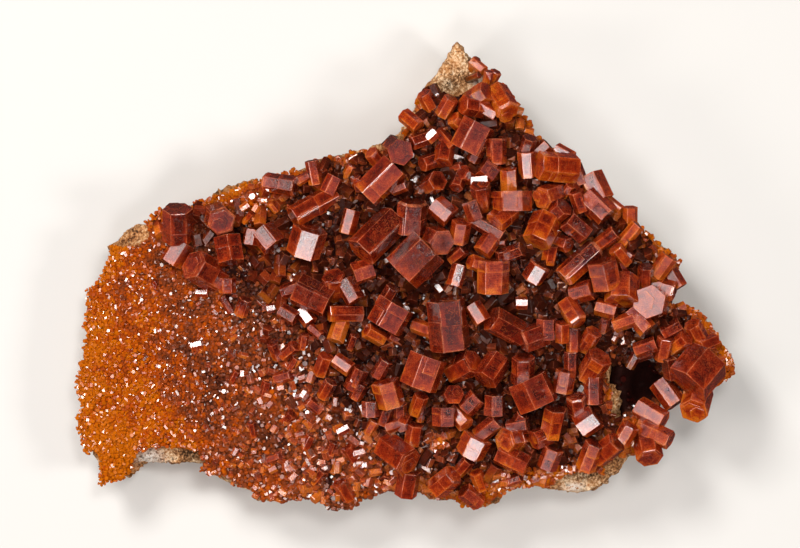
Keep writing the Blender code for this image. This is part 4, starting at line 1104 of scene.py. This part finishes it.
def druse_colour_group():
    """Colour of the druse: golden, orange, red brown, then nearly black between the crystals, which is
    painted shade.
    """
    tree, nodes, inside, outside = new_group(
        "druse colour", ["Shade", "Cloud", "Tone", "Darkness"], ["Colour"]
    )
    shade = nodes.math("MULTIPLY_ADD", nodes.math("SUBTRACT", inside["Cloud"], 0.5), 0.7, inside["Shade"])
    shade = nodes.math("MULTIPLY_ADD", nodes.math("SUBTRACT", inside["Tone"], 0.5), 0.35, shade)
    colour = nodes.ramp(
        shade,
        (0.0, (0.5, 0.12, 0.002)), (0.25, (0.41, 0.062, 0.002)), (0.5, (0.22, 0.043, 0.01)),
        (0.75, (0.11, 0.025, 0.009)), (1.0, (0.03, 0.003, 0.002)),
    )
    # Darkness mixes toward nearly black: dark specks, and on the ground painted shade as well.
    nodes.set(outside["Colour"], nodes.mix(inside["Darkness"], colour, (0.012, 0.002, 0.001)))
    return tree


# ---------------------------------------------------------------- finishes


def crystal_material(name, mottling, see_through, dullness, ior, dust, variety, low, high):
    """Glossy vanadinite: dark red-brown inside, with an orange glow painted where light would leave and pale
    highlights painted on its thin edges.

    Dust gives it a dull brown film, and variety sets how much its faces differ. Between the two levels
    low and high of its depth it fades from painted shade between the crystals to its own colour.
    """
    made, nodes, shader = new_material(name)
    place = nodes.value("place", "Vector")
    spots = nodes.group(mottling, Place=place, Cloud_scale=0.6, Speck_scale=6.0, Speck_share=0.36)
    shade = nodes.math("MULTIPLY_ADD", spots["Cloud"], 1.2, -0.82)
    shade = nodes.math("ADD", shade, nodes.value("tone"))
    lines = nodes.noise(nodes.stretched(place, (0.7, 0.7, 9.0)), 1.0, 3.0)
    shade = nodes.math("MULTIPLY_ADD", nodes.math("SUBTRACT", lines, 0.5), 0.5, shade)
    # glow and border paint an orange glow into the colour: on one side of each crystal, and in a zone along
    # the faces' edges. facet varies each face at random.
    for part, weight in (("glow", 0.6), ("facet", variety), ("border", 0.22)):
        shade = nodes.math("MULTIPLY_ADD", nodes.value(part), weight, shade)
    body = nodes.ramp(
        shade,
        (0.0, (0.07, 0.004, 0.002)), (0.3, (0.17, 0.009, 0.002)), (0.5, (0.3, 0.019, 0.003)),
        (0.75, (0.5, 0.054, 0.003)), (1.0, (0.74, 0.16, 0.005)),
    )
    body = nodes.mix(nodes.math("MULTIPLY", spots["Specks"], 0.22), body, (0.03, 0.004, 0.003))
    body = nodes.mix(nodes.span(spots["Cloud"], 0.3, 0.7, 0.5 * dust, dust), body, (0.2, 0.08, 0.032))
    body = nodes.mix(nodes.span(spots["Grain"], 0.35, 0.6, 0.4, 0.0), body, (0.05, 0.006, 0.004))
    crack = nodes.noise(place, 0.9, 2.0)
    crack = nodes.math("ABSOLUTE", nodes.math("SUBTRACT", crack, 0.5))
    body = nodes.mix(nodes.span(crack, 0.0, 0.012, 0.3, 0.0), body, (0.75, 0.16, 0.04))
    etched = nodes.span(nodes.value("facet"), 0.3, 0.9)
    frost = nodes.math("MULTIPLY", etched, nodes.span(spots["Grain"], 0.52, 0.66))
    body = nodes.mix(nodes.math("MULTIPLY", frost, 0.22), body, (0.6, 0.14, 0.05))
    # Painted highlight: a pale pinkish line along the worn edges, broken up by the clouds and the grain.
    edge = nodes.math("MULTIPLY", nodes.value("rim"), nodes.span(spots["Cloud"], 0.38, 0.62, 0.05, 0.75))
    edge = nodes.math("MULTIPLY", edge, nodes.span(spots["Grain"], 0.38, 0.58, 0.25, 1.0))
    body = nodes.mix(edge, body, (0.85, 0.24, 0.1))
    # Painted shade: low-lying parts, deep between the crystals, are darkened nearly to black.
    painted_gap_shade = nodes.span(nodes.value("depth"), low, high, 0.93, 0.0)
    nodes.set(shader["Base Color"], nodes.mix(painted_gap_shade, body, (0.018, 0.004, 0.002)))
    nodes.set(shader["Roughness"], nodes.span(lines, 0.3, 0.75, 0.04 + dullness, 0.13 + dullness))
    height = nodes.math("MULTIPLY_ADD", lines, 0.6, spots["Grain"])
    nodes.set(shader["Normal"], nodes.bump(height, 0.7, 0.00003))
    shader["IOR"].default_value = ior
    shader["Transmission Weight"].default_value = see_through
    shader["Subsurface Weight"].default_value = 0.12
    shader["Subsurface Radius"].default_value = (1.0, 0.2, 0.05)
    shader["Subsurface Scale"].default_value = 0.0008
    return made


def grain_material(mottling, druse_colour):
    made, nodes, shader = new_material("fine vanadinite")
    place = nodes.value("place", "Vector")
    spots = nodes.group(mottling, Place=place, Cloud_scale=1.5, Speck_scale=6.0, Speck_share=0.3)
    # The shade value paints shade between the crystals and in the hollow into the grains' colour.
    body = nodes.group(
        druse_colour, Shade=nodes.value("shade"), Cloud=spots["Cloud"], Tone=nodes.value("tone"), Darkness=0.0
    )
    nodes.set(shader["Base Color"], body["Colour"])
    nodes.set(shader["Roughness"], nodes.span(spots["Cloud"], 0.3, 0.7, 0.05, 0.2))
    shader["IOR"].default_value = 1.6
    return made


def bed_material(mottling, druse_colour):
    made, nodes, shader = new_material("druse ground")
    place = nodes.object_place()
    spots = nodes.group(mottling, Place=place, Cloud_scale=500.0, Speck_scale=3000.0, Speck_share=0.4)
    # Painted shade: the ground darkens where its shade runs toward the gaps between the crystals and the
    # hollow. Its dark specks add to this.
    deep = nodes.span(nodes.value("shade"), 0.4, 0.9, 0.1, 0.75)
    dark = nodes.math("MULTIPLY_ADD", spots["Specks"], 0.25, deep)
    body = nodes.group(
        druse_colour, Shade=nodes.value("shade"), Cloud=spots["Cloud"], Tone=0.5, Darkness=dark
    )
    nodes.set(shader["Base Color"], body["Colour"])
    nodes.set(shader["Normal"], nodes.bump(spots["Grain"], 0.6, 0.0002))
    nodes.set(shader["Roughness"], nodes.span(spots["Cloud"], 0.3, 0.7, 0.6, 0.9))
    shader["Specular IOR Level"].default_value = 0.1
    return made


def rock_material(mottling):
    """Tan matrix with white and dark patches, stained orange near the druse."""
    made, nodes, shader = new_material("matrix rock")
    place = nodes.object_place()
    spots = nodes.group(mottling, Place=place, Cloud_scale=260.0, Speck_scale=1700.0, Speck_share=0.3)
    grit = nodes.group(mottling, Place=place, Cloud_scale=2600.0, Speck_scale=6000.0, Speck_share=0.4)
    shade = nodes.math("MULTIPLY_ADD", grit["Cloud"], 0.8, nodes.math("MULTIPLY", spots["Cloud"], 0.6))
    body = nodes.ramp(
        shade,
        (0.54, (0.1, 0.035, 0.012)), (0.62, (0.38, 0.15, 0.045)),
        (0.72, (0.64, 0.32, 0.13)), (0.84, (0.9, 0.65, 0.41)),
    )
    stain = nodes.math("MULTIPLY", nodes.value("stain"), nodes.span(spots["Cloud"], 0.35, 0.6, 0.2, 0.8))
    body = nodes.mix(stain, body, (0.4, 0.12, 0.015))
    chalk = nodes.math("MULTIPLY", nodes.value("chalk"), nodes.span(grit["Cloud"], 0.35, 0.5))
    body = nodes.mix(chalk, body, (0.9, 0.82, 0.74))
    gravel = nodes.math("MULTIPLY", nodes.value("gravel"), nodes.span(grit["Cloud"], 0.6, 0.45))
    dark = nodes.math("MAXIMUM", gravel, nodes.math("MULTIPLY", spots["Specks"], 0.7))
    nodes.set(shader["Base Color"], nodes.mix(dark, body, (0.035, 0.018, 0.008)))
    height = nodes.math("MULTIPLY_ADD", grit["Grain"], 0.5, spots["Grain"])
    nodes.set(shader["Normal"], nodes.bump(height, 0.9, 0.0005))
    nodes.set(shader["Roughness"], nodes.span(spots["Cloud"], 0.3, 0.7, 0.75, 0.95))
    shader["Specular IOR Level"].default_value = 0.25
    return made


# ---------------------------------------------------------------- stage, light and camera


def floor():
    """A pale floor that is dark to mirrored rays, so that the gaps between the crystals stay dark."""
    mesh = bpy.data.meshes.new("floor")
    half = 0.5  # metres
    corners = [(-half, -half, 0), (half, -half, 0), (half, half, 0), (-half, half, 0)]
    mesh.from_pydata(corners, [], [(0, 1, 2, 3)])
    plane = linked("floor", mesh)
    made, nodes, shader = new_material("pale floor")
    mirrored = made.node_tree.nodes.new("ShaderNodeLightPath").outputs["Is Glossy Ray"]
    nodes.set(shader["Base Color"], nodes.mix(mirrored, (0.66, 0.65, 0.63), (0.03, 0.02, 0.02)))
    shader["Roughness"].default_value = 0.8
    mesh.materials.append(made)


def soft_light(name, azimuth, height, away, size, radiance, colour):
    """A square card that shines at the specimen from its direction."""
    toward = direction(azimuth, height)
    lamp = bpy.data.lights.new(name, "AREA")
    lamp.shape = "SQUARE"
    lamp.size = size
    lamp.energy = radiance * math.pi * size**2
    lamp.color = colour
    holder = linked(name, lamp)
    holder.location = toward * away
    holder.rotation_euler = (-toward).to_track_quat("-Z", "Y").to_euler()


def lights():
    """The lights, in a world that is pale to the camera and hardly shines on the specimen."""
    for name, values in LIGHTS.items():
        soft_light(name, *values)
    world = bpy.data.worlds.new("studio")
    world.use_nodes = True
    nodes = Nodes(world.node_tree)
    shader = world.node_tree.nodes["Background"].inputs
    shader["Color"].default_value = (0.9, 0.9, 0.88, 1.0)
    seen = world.node_tree.nodes.new("ShaderNodeLightPath").outputs["Is Camera Ray"]
    nodes.set(shader["Strength"], nodes.span(seen, 0.0, 1.0, 0.015, 0.75))
    bpy.context.scene.world = world
    bpy.context.scene.view_settings.view_transform = "Standard"


def camera():
    """Straight above the plate, from far off."""
    lens = bpy.data.cameras.new("camera")
    lens.lens = 200.0
    lens.sensor_width = 36.0
    eye = linked("camera", lens)
    distance = WIDTH_SEEN * MM * lens.lens / lens.sensor_width
    x, y, z = (value * MM for value in CENTRE_SEEN)
    eye.location = (x, y, z + distance)
    bpy.context.scene.camera = eye


mottling = mottling_group()
druse_colour = druse_colour_group()
main_finish = crystal_material(
    "vanadinite", mottling,
    see_through=0.12, dullness=0.0, ior=1.85, dust=0.04, variety=0.3, low=0.0, high=0.9,
)
deep_finish = crystal_material(
    "deep vanadinite", mottling,
    see_through=0.0, dullness=0.02, ior=1.3, dust=0.15, variety=0.4, low=0.5, high=1.9,
)
small_finish = crystal_material(
    "small vanadinite", mottling,
    see_through=0.0, dullness=0.03, ior=1.7, dust=0.4, variety=0.6, low=0.1, high=0.9,
)
large_crystals(main_finish)
filling_crystals(deep_finish)
middle_grains(small_finish)
fine_grains(grain_material(mottling, druse_colour))
druse_bed(bed_material(mottling, druse_colour))
rock(rock_material(mottling))
floor()
lights()
camera()
